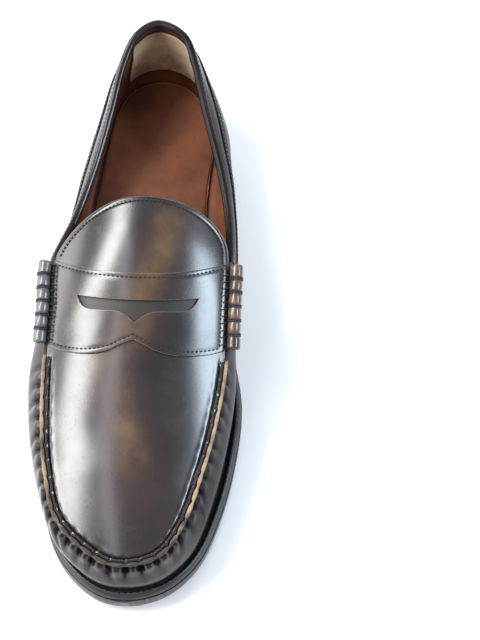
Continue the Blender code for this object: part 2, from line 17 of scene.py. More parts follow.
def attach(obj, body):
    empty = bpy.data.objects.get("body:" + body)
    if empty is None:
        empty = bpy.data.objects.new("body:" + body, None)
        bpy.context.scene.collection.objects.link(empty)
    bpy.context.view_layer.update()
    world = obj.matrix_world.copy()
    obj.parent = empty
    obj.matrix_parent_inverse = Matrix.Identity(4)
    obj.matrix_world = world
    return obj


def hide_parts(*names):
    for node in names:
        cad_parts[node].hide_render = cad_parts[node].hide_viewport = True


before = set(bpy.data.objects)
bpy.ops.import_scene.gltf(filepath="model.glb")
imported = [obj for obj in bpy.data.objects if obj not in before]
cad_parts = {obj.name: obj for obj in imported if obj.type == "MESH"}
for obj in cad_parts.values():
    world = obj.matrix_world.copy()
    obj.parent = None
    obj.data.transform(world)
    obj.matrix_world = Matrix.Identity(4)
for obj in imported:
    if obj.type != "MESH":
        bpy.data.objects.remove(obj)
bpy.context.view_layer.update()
random.seed(7)

MM = 0.001
LAST_SHIFT = Vector((3.4, -0.6, 0.0))

# ---- the last ----
# Ribs round the shoe from the toe tip by the medial side and the heel back to the toe:
# sole edge x, y; upper's top edge x, y; lower and upper bulge of the wall; welt width.
RIBS = (
    (-3.0, -152.4, -3.0, -140.0, 2.5, 2.5, 4.8),
    (17.5, -146.3, 15.0, -134.0, 2.5, 2.5, 4.8),
    (33.5, -129.4, 26.5, -117.0, 3.0, 3.0, 5.0),
    (43.7, -103.2, 34.5, -92.0, 4.0, 4.0, 6.2),
    (50.5, -72.0, 40.7, -66.0, 4.5, 4.5, 7.0),
    (52.9, -41.0, 45.0, -37.0, 5.5, 4.5, 6.8),
    (48.0, -12.0, 45.6, -10.0, 8.0, 4.0, 5.5),
    (42.5, 18.0, 45.9, 17.0, 11.0, 5.0, 4.0),
    (39.0, 46.0, 44.0, 45.0, 12.0, 7.0, 3.5),
    (38.5, 75.0, 38.4, 74.0, 12.0, 9.0, 3.2),
    (40.5, 103.0, 30.0, 103.0, 9.0, 9.0, 3.0),
    (35.0, 128.0, 23.8, 127.0, 4.5, 5.5, 3.0),
    (23.0, 145.5, 17.0, 142.0, 4.0, 5.0, 3.0),
    (3.5, 152.0, 2.0, 149.4, 4.0, 4.0, 3.0),
    (-16.5, 145.5, -10.6, 141.5, 4.0, 4.5, 3.0),
    (-28.3, 128.0, -17.6, 127.0, 3.5, 4.5, 3.0),
    (-33.0, 103.0, -23.2, 103.0, 5.5, 6.5, 3.0),
    (-37.3, 75.0, -30.2, 74.0, 8.0, 8.0, 3.5),
    (-42.0, 46.0, -39.0, 45.0, 6.0, 5.5, 4.0),
    (-49.0, 18.0, -48.6, 17.0, 7.5, 6.0, 4.5),
    (-54.5, -11.0, -49.2, -10.0, 9.0, 8.5, 5.0),
    (-56.5, -41.0, -50.4, -37.0, 12.0, 12.0, 5.5),
    (-55.0, -72.0, -49.8, -66.0, 9.5, 9.5, 5.0),
    (-49.5, -101.0, -46.7, -92.0, 6.6, 6.6, 4.6),
    (-38.9, -128.9, -38.9, -117.0, 5.0, 5.0, 4.2),
    (-21.5, -147.2, -19.0, -135.3, 3.0, 3.0, 4.4),
)
SOLE_TIP, SPRING_BACK, SPRING_RUN, TOE_SPRING = -152.4, -85.0, 67.4, 9.6  # y, y, run and rise
TREAD_BACK, SEAT_FRONT, SEAT_RISE = -45.0, 73.0, 20.0  # y, y and rise
ROUND = len(RIBS)
HEEL = ROUND // 2
THROAT, SIDE_SEAM = 7.0, 7.05
# The instep by y: height and place of its ridge, and how fast it falls away to the sides.
RIDGE_Z = (
    (-139, 37), (-125, 41.3), (-97, 47.2), (-70, 52.4), (-31, 64), (0, 75.3), (20, 80.6), (42, 84.2),
)
RIDGE_X = ((-139, 0), (-115, -3), (-92, -4.8), (-66, -5), (-37, -4), (-10, -2), (17, -0.5), (42, 0))
FALL = (
    (-139, 0.0078), (-120, 0.0066), (-92, 0.0058), (-66, 0.0058), (-37, 0.0066), (-10, 0.0074),
    (17, 0.0086), (42, 0.0093),
)
TOPLINE_Z = (
    (17, 61), (25, 59.2), (42, 58.4), (60, 59.8), (80, 63.6), (103, 71.8), (125, 81.5), (140, 87),
    (146, 88.6),
)
APRON_SEAM = 0.7  # share of the apron's side that follows the seam; the rest rounds the tongue
TONGUE_REACH, TONGUE_CORNER = 27.4, {1: 0.75, -1: 1.45}
# The saddle strap by the share of the way from its middle to its end: front edge, slot and slot's depth.
STRAP_FRONT = (
    (0.0, -29.4), (0.14, -31.9), (0.26, -34.3), (0.44, -35.6), (0.62, -35.0), (0.83, -32.4),
    (1.0, -28.8),
)
SLOT_HALF, SLOT_Y, SLOT_BOW = 0.70, -10.8, 4.6
SLOT_DEPTH = (
    (0.0, 10.8), (0.04, 9.4), (0.09, 7.7), (0.17, 6.0), (0.28, 5.6), (0.42, 5.8), (0.55, 5.9),
    (0.62, 5.0), (0.665, 3.2), (0.69, 1.3), (0.7, 0.0),
)
ROLL_FRONT, ROLL_REAR = -27.5, 14.5
ROLL_TIED, ROLL_FULL, ROLL_BORE = 2.68, 3.42, 1.3  # radius under a wrap, between wraps, of the bore
THREAD_END = 5.12  # rib place where the apron thread goes under the strap
WELT_END, RAND_START = 9.0, 9.008  # rib places
WELT_BEVEL = 1.7
TOP_LIFT_Z, LIFT_HEIGHT, LIFT_GAP = 6.4, 4.0, 0.4  # z of the rubber's top, then the leather lifts over it
KICKER_HALF = 0.72  # rib places from the back seam to the kicker's corner
BINDING_START, BINDING_FULL = 7.06, 7.42  # rib places where the binding starts and is at its widest
COLLAR_SHARE = 0.72  # height on the wall where the collar meets the quarter
WALL_FOOT = 8.8  # of the upper over the sole's underside
LEATHER = 1.6
STITCH_GAP = 8.4  # between the hand stitches of the moccasin seam
GATHERS_WEAKEN = (45, 85)  # lengths from the toe tip
GATHERS_END = (-44, -31)  # y in front of the strap
LIP_TRIMMED = (-36.5, -30.5)  # y where the raised edge is cut down to slip under the strap
STRETCHED = 1.9  # past this the leather gives less to the gathers
WALL_LEVELS = (0.0, 0.03, 0.08, 0.15, 0.23, 0.32, 0.41, 0.5)
# depths below the seam where the pleats need rows of points
NEAR_SEAM = (13.5, 11.5, 9.8, 8.3, 7.0, 6.0, 5.2, 4.5, 3.9, 3.3, 2.8, 2.3, 1.8, 1.3, 0.8, 0.35)
INNER_LEVELS = (0.97, 0.935, 0.9, 0.86, 0.8, 0.6, 0.35, 0.12, 0.02)
UP = Vector((0, 0, 1))


def mix(a, b, share):
    return a + (b - a) * share


def ramp(x, low, high):
    """0 below low, 1 above high, and smooth between."""
    share = min(1.0, max(0.0, (x - low) / (high - low)))
    return share * share * (3 - 2 * share)


def bell(x, width):
    return math.exp(-((x / width) ** 2))


def curve(points, x):
    """Smooth line through (x, value) points, level outside them."""
    if x <= points[0][0]:
        return points[0][1]
    if x >= points[-1][0]:
        return points[-1][1]
    last = len(points) - 1
    i = max(n for n in range(last) if points[n][0] <= x)

    def slope(n):
        a, b = points[max(n - 1, 0)], points[min(n + 1, last)]
        return (b[1] - a[1]) / (b[0] - a[0])

    (x0, v0), (x1, v1) = points[i], points[i + 1]
    width = x1 - x0
    s = (x - x0) / width
    return (
        v0 * (1 + 2 * s) * (1 - s) ** 2
        + slope(i) * width * s * (1 - s) ** 2
        + v1 * s * s * (3 - 2 * s)
        + slope(i + 1) * width * s * s * (s - 1)
    )


@lru_cache(None)
def rib(t):
    i = math.floor(t)
    s = t - i
    a, b, c, d = (RIBS[(i + n) % ROUND] for n in (-1, 0, 1, 2))
    return tuple(
        0.5 * (2 * q + (r - p) * s + (2 * p - 5 * q + 4 * r - u) * s * s + (3 * q - p - 3 * r + u) * s**3)
        for p, q, r, u in zip(a, b, c, d)
    )


@lru_cache(None)
def outward(t, column=0):
    """Level unit vector out of the shoe, square to the sole's edge, or to the top edge with column 2."""
    before, after = rib(t - 0.05), rib(t + 0.05)
    along = Vector((after[column] - before[column], after[column + 1] - before[column + 1])).normalized()
    return Vector((along.y, -along.x))


def sole_edge(t, inset=0.0):
    row = rib(t)
    return Vector((row[0], row[1])) - outward(t) * inset


def feather(t, inset=0.0):
    """The line where the upper meets the welt, moved in by inset."""
    return sole_edge(t, rib(t)[6] + inset)


def sole_bottom(y):
    """Height of the sole's underside: toe spring, flat tread, then the rise to the heel seat."""
    y = max(y, SOLE_TIP)
    if y < SPRING_BACK:
        return TOE_SPRING * ((SPRING_BACK - y) / SPRING_RUN) ** 1.8
    return SEAT_RISE * ramp(y, TREAD_BACK, SEAT_FRONT) + 0.03 * max(0.0, y - SEAT_FRONT)


def lifted(p, height):
    """The point over plan point p at this height above the sole's underside, square to it."""
    slope = sole_bottom(p.y + 0.5) - sole_bottom(p.y - 0.5)
    reach = height / math.hypot(1, slope)
    return Vector((p.x, p.y - reach * slope, sole_bottom(p.y) + reach))


def instep(x, y):
    """Height of the apron's outer surface."""
    return curve(RIDGE_Z, y) - curve(FALL, y) * (x - curve(RIDGE_X, y)) ** 2


@lru_cache(None)
def top_edge(t):
    row = rib(t)
    behind = THROAT < t % ROUND < ROUND - THROAT
    return Vector((row[2], row[3], curve(TOPLINE_Z, row[3]) if behind else instep(row[2], row[3])))


@lru_cache(None)
def wall_ribs(t):
    """The four control points of the wall's curve from the welt to the top edge."""
    row = rib(t)
    out = outward(t).to_3d()
    foot, top = lifted(feather(t), WALL_FOOT), top_edge(t)
    rise = Vector((0, 0, top.z - foot.z))
    return foot, foot + out * row[4] + rise * 0.38, top + out * row[5] - rise * 0.32, top


def wall_surface(t, h):
    foot, low, high, top = wall_ribs(t)
    k = 1 - h
    return foot * k**3 + low * (3 * k * k * h) + high * (3 * k * h * h) + top * h**3


def wall_frame(t, h):
    """Outward normal and upward tangent of the wall."""
    step = 0.02
    along = wall_surface(t + step, h) - wall_surface(t - step, h)
    up = (wall_surface(t, min(1.0, h + step)) - wall_surface(t, max(0.0, h - step))).normalized()
    return along.cross(up).normalized(), up


def hand(p, size, depth, seed=0):
    """A small unevenness of hand-worked leather at this point."""
    return depth * noise.noise(Vector((p.x / size + seed, p.y / size, p.z / size)))


def on_wall(t, h):
    """A point of the wall and the outward normal there."""
    return wall_surface(t, h), wall_frame(t, h)[0]


def side(t, sign):
    """The rib place on the medial side for +1, and the one facing it for -1."""
    return t if sign > 0 else ROUND - t


@lru_cache(None)
def seam_place(y, sign):
    """The rib place where the apron seam passes y."""
    low, high = 0.5, 8.0
    for _ in range(30):
        middle = (low + high) / 2
        if rib(side(middle, sign))[3] < y:
            low = middle
        else:
            high = middle
    return side((low + high) / 2, sign)


def metres(p):
    return (p + LAST_SHIFT) * MM


def stations(first, last, count):
    return [mix(first, last, i / (count - 1)) for i in range(count)]


def crowded(first, last, count, share=0.75):
    """Stations that crowd together towards both ends."""
    even = stations(0, 1, count)
    return [mix(first, last, mix(s, 0.5 - 0.5 * math.cos(math.pi * s), share)) for s in even]


# ---- the moccasin seam, measured along its own line ----


def seam_line():
    """Lengths along the seam from the toe tip at even rib places, and a tree for the nearest of them."""
    count = 1400
    points = [top_edge(t) for t in stations(-SIDE_SEAM, SIDE_SEAM, count)]
    lengths = [0.0]
    for a, b in zip(points, points[1:]):
        lengths.append(lengths[-1] + (b - a).length)
    middle = lengths[count // 2]
    tree = kdtree.KDTree(count)
    for i, p in enumerate(points):
        tree.insert(Vector((p.x, p.y, 0)), i)
    tree.balance()
    return [s - middle for s in lengths], tree


SEAM_LENGTHS, SEAM_TREE = seam_line()


def seam_length(t):
    last = len(SEAM_LENGTHS) - 1
    share = (t + SIDE_SEAM) / (2 * SIDE_SEAM) * last
    i = min(last - 1, max(0, int(share)))
    return mix(SEAM_LENGTHS[i], SEAM_LENGTHS[i + 1], share - i)


GATHERS = {}
for number in range(-40, 41):
    GATHERS[number] = (
        random.uniform(-0.7, 0.7),  # place along the seam
        random.uniform(0.75, 1.2),  # depth
        random.uniform(7.0, 16.0),  # how far its pleat runs down the wall
        random.uniform(-0.28, 0.28),  # lean of the pleat
    )


def gather(length):
    """The nearest hand stitch: how far along it lies, and its own values."""
    number = round(length / STITCH_GAP)
    shift, depth, run, lean = GATHERS[number]
    return length - number * STITCH_GAP - shift, depth, run, lean


def lobe(length):
    """0 at each hand stitch and 1 halfway between two."""
    number = round(length / STITCH_GAP)
    if length < number * STITCH_GAP + GATHERS[number][0]:
        number -= 1
    before, after = (n * STITCH_GAP + GATHERS[n][0] for n in (number, number + 1))
    return 0.5 - 0.5 * math.cos(2 * math.pi * (length - before) / (after - before))


def gather_share(t):
    """How strongly the wall is gathered into the seam."""
    far = 0.62 if t < 0 else 0.4
    weaker = ramp(abs(seam_length(t)), *GATHERS_WEAKEN)
    return mix(1.0, far, weaker) * (1 - ramp(rib(t)[3], *GATHERS_END))


# ---- workshop tools ----


def put_down():
    bpy.ops.object.select_all(action="DESELECT")


def take(piece):
    put_down()
    piece.select_set(True)
    bpy.context.view_layer.objects.active = piece


def loft(name, sections, ring=False, loop=False, looks=(), bands=(), pressed=()):
    """A flat grid whose points are moved to the sections, one section after another along the piece.

    ring joins the last section to the first, loop joins each section's end to its start. bands are
    (first row, last row, look number) for faces with another finish. pressed holds, section by section,
    how deep in a gather each point lies; the sidewall's finish darkens the base colour by it as painted
    shade.
    """
    if loop:
        sections = [section + section[:1] for section in sections]
    if ring:
        sections = sections + sections[:1]
    columns, rows = len(sections), len(sections[0])
    put_down()
    bpy.ops.mesh.primitive_grid_add(x_subdivisions=columns - 1, y_subdivisions=rows - 1, size=2.0)
    piece = bpy.context.object
    piece.name = piece.data.name = name
    row_of = []
    if pressed:
        marks = piece.data.attributes.new("pressed", "FLOAT", "POINT")
    for v in piece.data.vertices:
        i, j = round((v.co.x + 1) / 2 * (columns - 1)), round((v.co.y + 1) / 2 * (rows - 1))
        v.co = metres(sections[i][j])
        row_of.append(j)
        if pressed:
            marks.data[v.index].value = pressed[i][j % len(pressed[i])]
    for look in looks:
        piece.data.materials.append(look)
    for first, last, number in bands:
        for face in piece.data.polygons:
            lowest = min(row_of[v] for v in face.vertices)
            if first <= lowest < last:
                face.material_index = number
    tidy(piece)
    return piece


def tidy(piece, caps=False, outside=False):
    """Merges doubles; caps closes open ends and outside turns the faces outwards."""
    take(piece)
    bpy.ops.object.mode_set(mode="EDIT")
    bpy.ops.mesh.select_all(action="SELECT")
    bpy.ops.mesh.remove_doubles(threshold=0.000004)
    if caps:
        bpy.ops.mesh.select_all(action="DESELECT")
        bpy.ops.mesh.select_mode(type="EDGE")
        bpy.ops.mesh.select_non_manifold(
            extend=False, use_wire=False, use_multi_face=False, use_verts=False
        )
        bpy.ops.mesh.fill_holes(sides=0)
    if outside:
        bpy.ops.mesh.select_all(action="SELECT")
        bpy.ops.mesh.normals_make_consistent(inside=False)
    bpy.ops.object.mode_set(mode="OBJECT")


def apply(piece, kind, **values):
    """Adds a modifier and applies it."""
    made = piece.modifiers.new("Work", kind)
    for key, value in values.items():
        setattr(made, key, value)
    take(piece)
    bpy.ops.object.modifier_apply(modifier=made.name)


def thicken(piece, depth, rim=0):
    apply(
        piece, "SOLIDIFY", thickness=depth * MM, offset=-1.0, use_even_offset=True,
        material_offset_rim=rim,
    )


def round_edges(piece, width, segments, angle, look=-1):
    apply(
        piece, "BEVEL", width=width * MM, segments=segments, limit_method="ANGLE",
        angle_limit=math.radians(angle), material=look, use_clamp_overlap=True,
    )


def settle(piece, slot, *nodes, angle=40):
    """Smooth shading, the piece's place on the shoe's body, and hiding the CAD parts it stands for; slot is
    not used.
    """
    take(piece)
    bpy.ops.object.shade_smooth_by_angle(angle=math.radians(angle))
    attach(piece, "root")
    if nodes:
        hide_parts(*nodes)


def cut_hide(name, sections, looks, depth, edge, slot, node, segments=2, bevel=60, angle=50):
    """A flat cut of leather laid on the sections, given its thickness and rounded edges."""
    piece = loft(name, sections, looks=looks)
    thicken(piece, depth)
    round_edges(piece, edge, segments, bevel)
    settle(piece, slot, node, angle=angle)


def closed_hide(name, sections, looks, slot, node, angle, **marks):
    """A piece whose sections run right round the leather, closed at both ends."""
    piece = loft(name, sections, loop=True, looks=looks, **marks)
    tidy(piece, caps=True, outside=True)
    settle(piece, slot, node, angle=angle)


def join(name, parts):
    put_down()
    for part in parts:
        part.select_set(True)
    bpy.context.view_layer.objects.active = parts[0]
    bpy.ops.object.join()
    parts[0].name = parts[0].data.name = name
    return parts[0]


def slab(name, rungs, low, high, looks, edge, angle=50, segments=3):
    """A layer of the bottom: rungs of plan points carried to a lower and an upper surface."""
    lower, upper = ([[carry(p) for p in row] for row in rungs] for carry in (low, high))
    columns, count = len(lower), len(lower[0])
    put_down()
    bpy.ops.mesh.primitive_grid_add(x_subdivisions=count - 1, y_subdivisions=columns - 1, size=2.0)
    piece = bpy.context.object
    piece.name = piece.data.name = name
    where = []
    for v in piece.data.vertices:
        where.append((round((v.co.y + 1) / 2 * (columns - 1)), round((v.co.x + 1) / 2 * (count - 1))))
    total = len(where)
    apply(piece, "SOLIDIFY", thickness=0.01, offset=-1.0)
    for n, v in enumerate(piece.data.vertices):
        i, j = where[n % total]
        v.co = metres((upper if n < total else lower)[i][j])
    for look in looks:
        piece.data.materials.append(look)
    tidy(piece, outside=True)
    round_edges(piece, edge, segments, angle)
    return piece


def ladder(edge, values, across):
    """Plan points on rungs across the shoe from the lateral side to the medial side."""
    return [[edge(v, -1).lerp(edge(v, 1), j / across) for j in range(across + 1)] for v in values]


def round_from(centre, across, up, radius, angle):
    """The point at this radius and angle from a centre."""
    return centre + across * (radius * math.cos(angle)) + up * (radius * math.sin(angle))


def tube(name, line, radius, sides, look, closed=False, up=UP):
    """A cord of thread along a line of points."""
    sections = []
    last = len(line) - 1
    for k, p in enumerate(line):
        before = line[k - 1] if k or closed else line[0]
        after = line[(k + 1) % len(line)] if k < last or closed else line[last]
        along = (after - before).normalized()
        across = along.cross(up).normalized()
        lift = across.cross(along)
        turns = (-2 * math.pi * n / sides for n in range(sides))
        sections.append([round_from(p, across, lift, radius, angle) for angle in turns])
    piece = loft(name, sections, ring=closed, loop=True, looks=[look])
    if not closed:
        tidy(piece, caps=True)
    tidy(piece, outside=True)
    return piece


def stitch_pattern(look, length, radius):
    """One stitch of waxed thread, pulled in at its two holes."""
    put_down()
    lying = (0, math.pi / 2, 0)
    bpy.ops.mesh.primitive_uv_sphere_add(segments=8, ring_count=6, radius=1.0, rotation=lying)
    piece = bpy.context.object
    bpy.ops.object.transform_apply(location=True, rotation=True, scale=True)
    bpy.ops.object.mode_set(mode="EDIT")
    bpy.ops.mesh.select_all(action="SELECT")
    bpy.ops.transform.resize(value=(length / 2 * MM, radius * MM, radius * MM * 0.85))
    bpy.ops.object.mode_set(mode="OBJECT")
    piece.data.materials.append(look)
    return piece


def sew(name, places, look, length, radius):
    """Copies one stitch to each place, given as centre, direction along the seam and surface normal."""
    first = stitch_pattern(look, length, radius)
    parts = []
    for centre, along, normal in places:
        part = first.copy()
        part.data = first.data.copy()
        bpy.context.scene.collection.objects.link(part)
        x = along.normalized()
        z = (normal - x * normal.dot(x)).normalized()
        turn = Matrix((x, z.cross(x), z)).transposed().to_4x4()
        part.data.transform(Matrix.Translation(metres(centre)) @ turn)
        parts.append(part)
    bpy.data.objects.remove(first)
    settle(join(name, parts), "waxed_thread")


def stitch_row(points, gap, facing):
    """Places for sew every gap along a line; facing gives the normal for a centre and its point's number."""
    lengths = [0.0]
    for a, b in zip(points, points[1:]):
        lengths.append(lengths[-1] + (b - a).length)
    total = lengths[-1]
    count = max(1, round(total / gap))
    places = []
    i = 0
    for n in range(count):
        want = total * (n + 0.5) / count
        while lengths[i + 1] < want:
            i += 1
        share = (want - lengths[i]) / (lengths[i + 1] - lengths[i])
        centre = points[i].lerp(points[i + 1], share)
        places.append((centre, points[i + 1] - points[i], facing(centre, i)))
    return places


# ---- finishes ----


class Amount:
    """A number that varies over a surface, with arithmetic."""

    def __init__(self, finish, socket):
        self.finish, self.socket = finish, socket

    def maths(self, operation, *values, flip=False):
        inputs = [self, *values][::-1] if flip else [self, *values]
        made = self.finish.node("ShaderNodeMath", {"operation": operation}, dict(enumerate(inputs)))
        return Amount(self.finish, made.outputs[0])

    def __add__(self, other):
        return self.maths("ADD", other)

    def __radd__(self, other):
        return self.maths("ADD", other)

    def __sub__(self, other):
        return self.maths("SUBTRACT", other)

    def __rsub__(self, other):
        return self.maths("SUBTRACT", other, flip=True)

    def __mul__(self, other):
        return self.maths("MULTIPLY", other)

    def __rmul__(self, other):
        return self.maths("MULTIPLY", other)

    def __truediv__(self, other):
        return self.maths("DIVIDE", other)

    def __rtruediv__(self, other):
        return self.maths("DIVIDE", other, flip=True)

    def __abs__(self):
        return self.maths("ABSOLUTE")

    def sine(self):
        return self.maths("SINE")

    def most(self, other):
        return self.maths("MAXIMUM", other)

    def between(self, low, high):
        """0 below low, 1 above high and smooth between; high may be the lower one."""
        settings = {"interpolation_type": "SMOOTHSTEP", "clamp": True}
        values = {"Value": self, "From Min": low, "From Max": high}
        return Amount(self.finish, self.finish.node("ShaderNodeMapRange", settings, values).outputs[0])


class Finish:
    """A material and the one place where its nodes are made."""

    def __init__(self, name, **constants):
        self.material = bpy.data.materials.new(name)
        self.material.use_nodes = True
        self.tree = self.material.node_tree
        self.shader = self.tree.nodes["Principled BSDF"]
        for key, value in constants.items():
            self.shader.inputs[key.replace("_", " ")].default_value = value
        self.here = self.node("ShaderNodeTexCoord", {}, {}).outputs["Object"]
        split = self.node("ShaderNodeSeparateXYZ", {}, {"Vector": self.here})
        self.x, self.y, self.z = (Amount(self, s) for s in split.outputs)

    def node(self, kind, settings, values):
        """A node of this type; its settings are set first, then the values or links of its sockets."""
        made = self.tree.nodes.new(kind)
        for key, value in settings.items():
            if key == "stops":
                for n, (place, colour) in enumerate(value):
                    stops = made.color_ramp.elements
                    stop = stops[n] if n < len(stops) else stops.new(place)
                    stop.position, stop.color = place, (*colour, 1.0)
            else:
                setattr(made, key, value)
        for key, value in values.items():
            socket = self.find(made, key)
            source = value.socket if isinstance(value, Amount) else value
            if isinstance(source, bpy.types.NodeSocket):
                self.tree.links.new(source, socket)
            elif isinstance(source, tuple) and len(source) == 3 and len(socket.default_value) == 4:
                socket.default_value = (*source, 1.0)
            else:
                socket.default_value = source
        return made

    @staticmethod
    def find(made, key):
        if isinstance(key, int):
            return made.inputs[key]
        return next((s for s in made.inputs if s.identifier == key), None) or made.inputs[key]

    def stretched(self, x, y, z):
        """Coordinates for a pattern that is drawn out along the directions with a small value."""
        return self.node("ShaderNodeMapping", {}, {"Vector": self.here, "Scale": (x, y, z)}).outputs[0]

    def cloud(self, scale, detail=3.0, rough=0.5, where=None, twist=0.0):
        values = {
            "Vector": where or self.here, "Scale": scale, "Detail": detail, "Roughness": rough,
            "Distortion": twist,
        }
        return Amount(self, self.node("ShaderNodeTexNoise", {}, values).outputs[0])

    def cells(self, scale):
        values = {"Vector": self.here, "Scale": scale}
        return Amount(self, self.node("ShaderNodeTexVoronoi", {}, values).outputs["Distance"])

    def blend(self, a, b, share):
        values = {"A_Color": a, "B_Color": b, "Factor_Float": share}
        made = self.node("ShaderNodeMix", {"data_type": "RGBA"}, values)
        return next(s for s in made.outputs if s.identifier == "Result_Color")

    def mark(self, name):
        """A number carried by the mesh's points."""
        made = self.node("ShaderNodeAttribute", {"attribute_name": name}, {})
        return Amount(self, made.outputs["Fac"])

    def grey(self, socket):
        """A grey colour socket as one number."""
        return Amount(self, self.node("ShaderNodeSeparateColor", {}, {0: socket}).outputs[0])

    def colour(self, value):
        self.feed("Base Color", value)

    def roughness(self, value):
        self.feed("Roughness", value)

    def feed(self, name, value):
        source = value.socket if isinstance(value, Amount) else value
        self.tree.links.new(source, self.shader.inputs[name])

    def relief(self, height, depth):
        """Bump of this depth in millimetres for a height from 0 to 1."""
        values = {"Height": height, "Distance": depth * MM, "Strength": 1.0}
        self.feed("Normal", self.node("ShaderNodeBump", {}, values).outputs[0])


def toned(colour, share):
    """The same colour with this share of its light, never past white."""
    return tuple(min(1.0, c * share) for c in colour)


def burnished_leather(
    name, patina=True, shine=0.26, copper_and_painted_reflection=False, coat=0.42, gloss=0.55, sides=False, covered=False
):
    """Black calf, polished by hand until brown and wine tones show through on the high places."""
    f = Finish(name, Coat_Weight=coat, Coat_Roughness=0.2, IOR=1.5, Specular_IOR_Level=gloss)
    broad = f.cloud(22.0, 3.0, 0.55)
    middle = f.cloud(95.0, 4.0, 0.6)
    fine = f.cloud(2600.0, 2.0, 0.6)
    pores = f.cells(1500.0)
    base = f.blend((0.0075, 0.0068, 0.0078), (0.017, 0.0125, 0.0135), broad.between(0.35, 0.65))
    base = f.blend(base, (0.035, 0.019, 0.016), middle.between(0.52, 0.8) * 0.5)
    if copper_and_painted_reflection:
        # rubbed through to copper on the inner side; on the outer side the black is lifted to grey as a
        # painted reflection of the bright light there
        rubbed = f.x.between(-0.02, 0.03) * middle.between(0.25, 0.6)
        base = f.blend(base, (0.135, 0.075, 0.048), rubbed * 0.85 + 0.05)
        base = f.blend(base, (0.11, 0.112, 0.116), f.x.between(0.0, -0.03) * (middle * 0.6 + 0.5))
    if patina:
        # the polish is thinnest along the middle of the instep
        stops = ((0.06, 0.585), (0.27, 0.53), (0.52, 0.23), (0.63, 0.47), (0.80, 0.73), (0.97, 0.9))
        stops = [(place, (value, value, value)) for place, value in stops]
        line = f.node("ShaderNodeValToRGB", {"stops": stops}, {0: (f.y + 0.12) / 0.15})
        worn_line = f.grey(line.outputs[0]) * 0.04 - 0.02
        wander = (f.cloud(30.0, 2.0, 0.5) - 0.5) * 0.014
        off = abs(f.x - worn_line + wander)
        length = f.y.between(-0.128, -0.100) * f.y.between(0.044, 0.028)
        wine = off.between(0.024, 0.005) * length
        gold = off.between(0.014, 0.001) * f.y.between(-0.104, -0.084) * length
        gold = gold * f.cloud(45.0, 4.0, 0.65).between(0.25, 0.75)
        top = f.z.between(0.03, 0.038)
        base = f.blend(base, (0.034, 0.017, 0.019), wine * top * 0.85)
        base = f.blend(base, (0.135, 0.085, 0.032), gold * top * 0.7)
    scuffs = f.cloud(420.0, 3.0, 0.7, f.stretched(1.0, 0.16, 1.0)).between(0.62, 0.8)
    base = f.blend(base, (0.06, 0.052, 0.05), scuffs * 0.22)
    rough = shine + (middle - 0.5) * 0.14 + scuffs * 0.09 + (fine - 0.5) * 0.05
    if sides:
        # polished towards the toe and the outer side, with no polish in the gathers, where the base colour is
        # also darkened as painted shade for the pits and pleats under the seam
        pressed = f.mark("pressed")
        base = f.blend(base, (0.0025, 0.0022, 0.003), pressed.between(0.05, 0.8) * 0.95)
        rough = rough + pressed * 0.3
        polished = f.x.between(0.028, -0.02).most(f.y.between(-0.110, -0.132) * 0.8)
        f.feed("Coat Weight", (polished * coat + 0.05) * pressed.between(0.6, 0.05))
    if covered:
        # the strip under the saddle strap is never polished
        hidden = f.y.between(-0.029, -0.026) * f.y.between(0.001, -0.002)
        base = f.blend(base, (0.012, 0.012, 0.013), hidden * 0.8)
        rough = rough + hidden * 0.22
        f.feed("Coat Weight", coat - hidden * coat)
    f.colour(base)
    f.roughness(rough)
    height = fine * 0.35 + pores * 0.4 + f.cloud(300.0, 3.0, 0.55) * 0.16 + scuffs * 0.1
    f.relief(height, 0.02)
    return f.material


def cut_edge(name, colour, dark, share, toe=False):
    """The raw edge of a hide: pale fibre with dye rubbed in along it."""
    f = Finish(name, Specular_IOR_Level=0.35)
    fibre = f.cloud(900.0, 4.0, 0.7)
    patches = f.cloud(70.0, 3.0, 0.6)
    if toe:
        # polish has gone over the edge round the toe, along the outer side and near the strap
        patches = patches + f.y.between(-0.108, -0.130) * 0.34 + f.x.between(0.0, -0.03) * 0.08
        patches = patches + f.y.between(-0.034, -0.028)
    dye = patches.between(share - 0.12, share + 0.2)
    base = f.blend(colour, toned(colour, 0.55), fibre.between(0.4, 0.75))
    f.colour(f.blend(base, dark, dye))
    f.roughness(0.55 + (fibre - 0.5) * 0.3)
    f.relief(fibre + f.cells(1100.0) * 0.5, 0.09)
    return f.material


def lining_leather(name, colour, deep):
    """Vegetable-tanned lining, rubbed darker where the foot goes."""
    f = Finish(name, Specular_IOR_Level=0.3)
    broad = f.cloud(28.0, 4.0, 0.6)
    fine = f.cloud(1900.0, 3.0, 0.6)
    creases = f.cloud(120.0, 4.0, 0.65, f.stretched(1.0, 1.0, 3.0), twist=0.6)
    base = f.blend(colour, deep, broad.between(0.35, 0.7))
    base = f.blend(base, toned(deep, 0.5), creases.between(0.6, 0.82) * 0.5)
    f.colour(f.blend(base, toned(colour, 1.25), fine.between(0.55, 0.8) * 0.35))
    f.roughness(0.52 + (broad - 0.5) * 0.25)
    f.relief(fine * 0.4 + f.cells(1300.0) * 0.4 + creases * 0.8, 0.12)
    return f.material


def suede(name, colour, worn):
    """Napped suede, matted and stained where the heel rubs."""
    f = Finish(name, Sheen_Weight=0.4, Sheen_Roughness=0.5, Specular_IOR_Level=0.15)
    nap = f.cloud(1400.0, 4.0, 0.75)
    broad = f.cloud(55.0, 4.0, 0.65)
    base = f.blend(colour, worn, broad.between(0.42, 0.66))
    f.colour(f.blend(base, toned(worn, 0.6), nap.between(0.5, 0.8) * 0.5))
    f.roughness(0.88 + (nap - 0.5) * 0.15)
    f.relief(nap + broad * 0.6, 0.22)
    return f.material


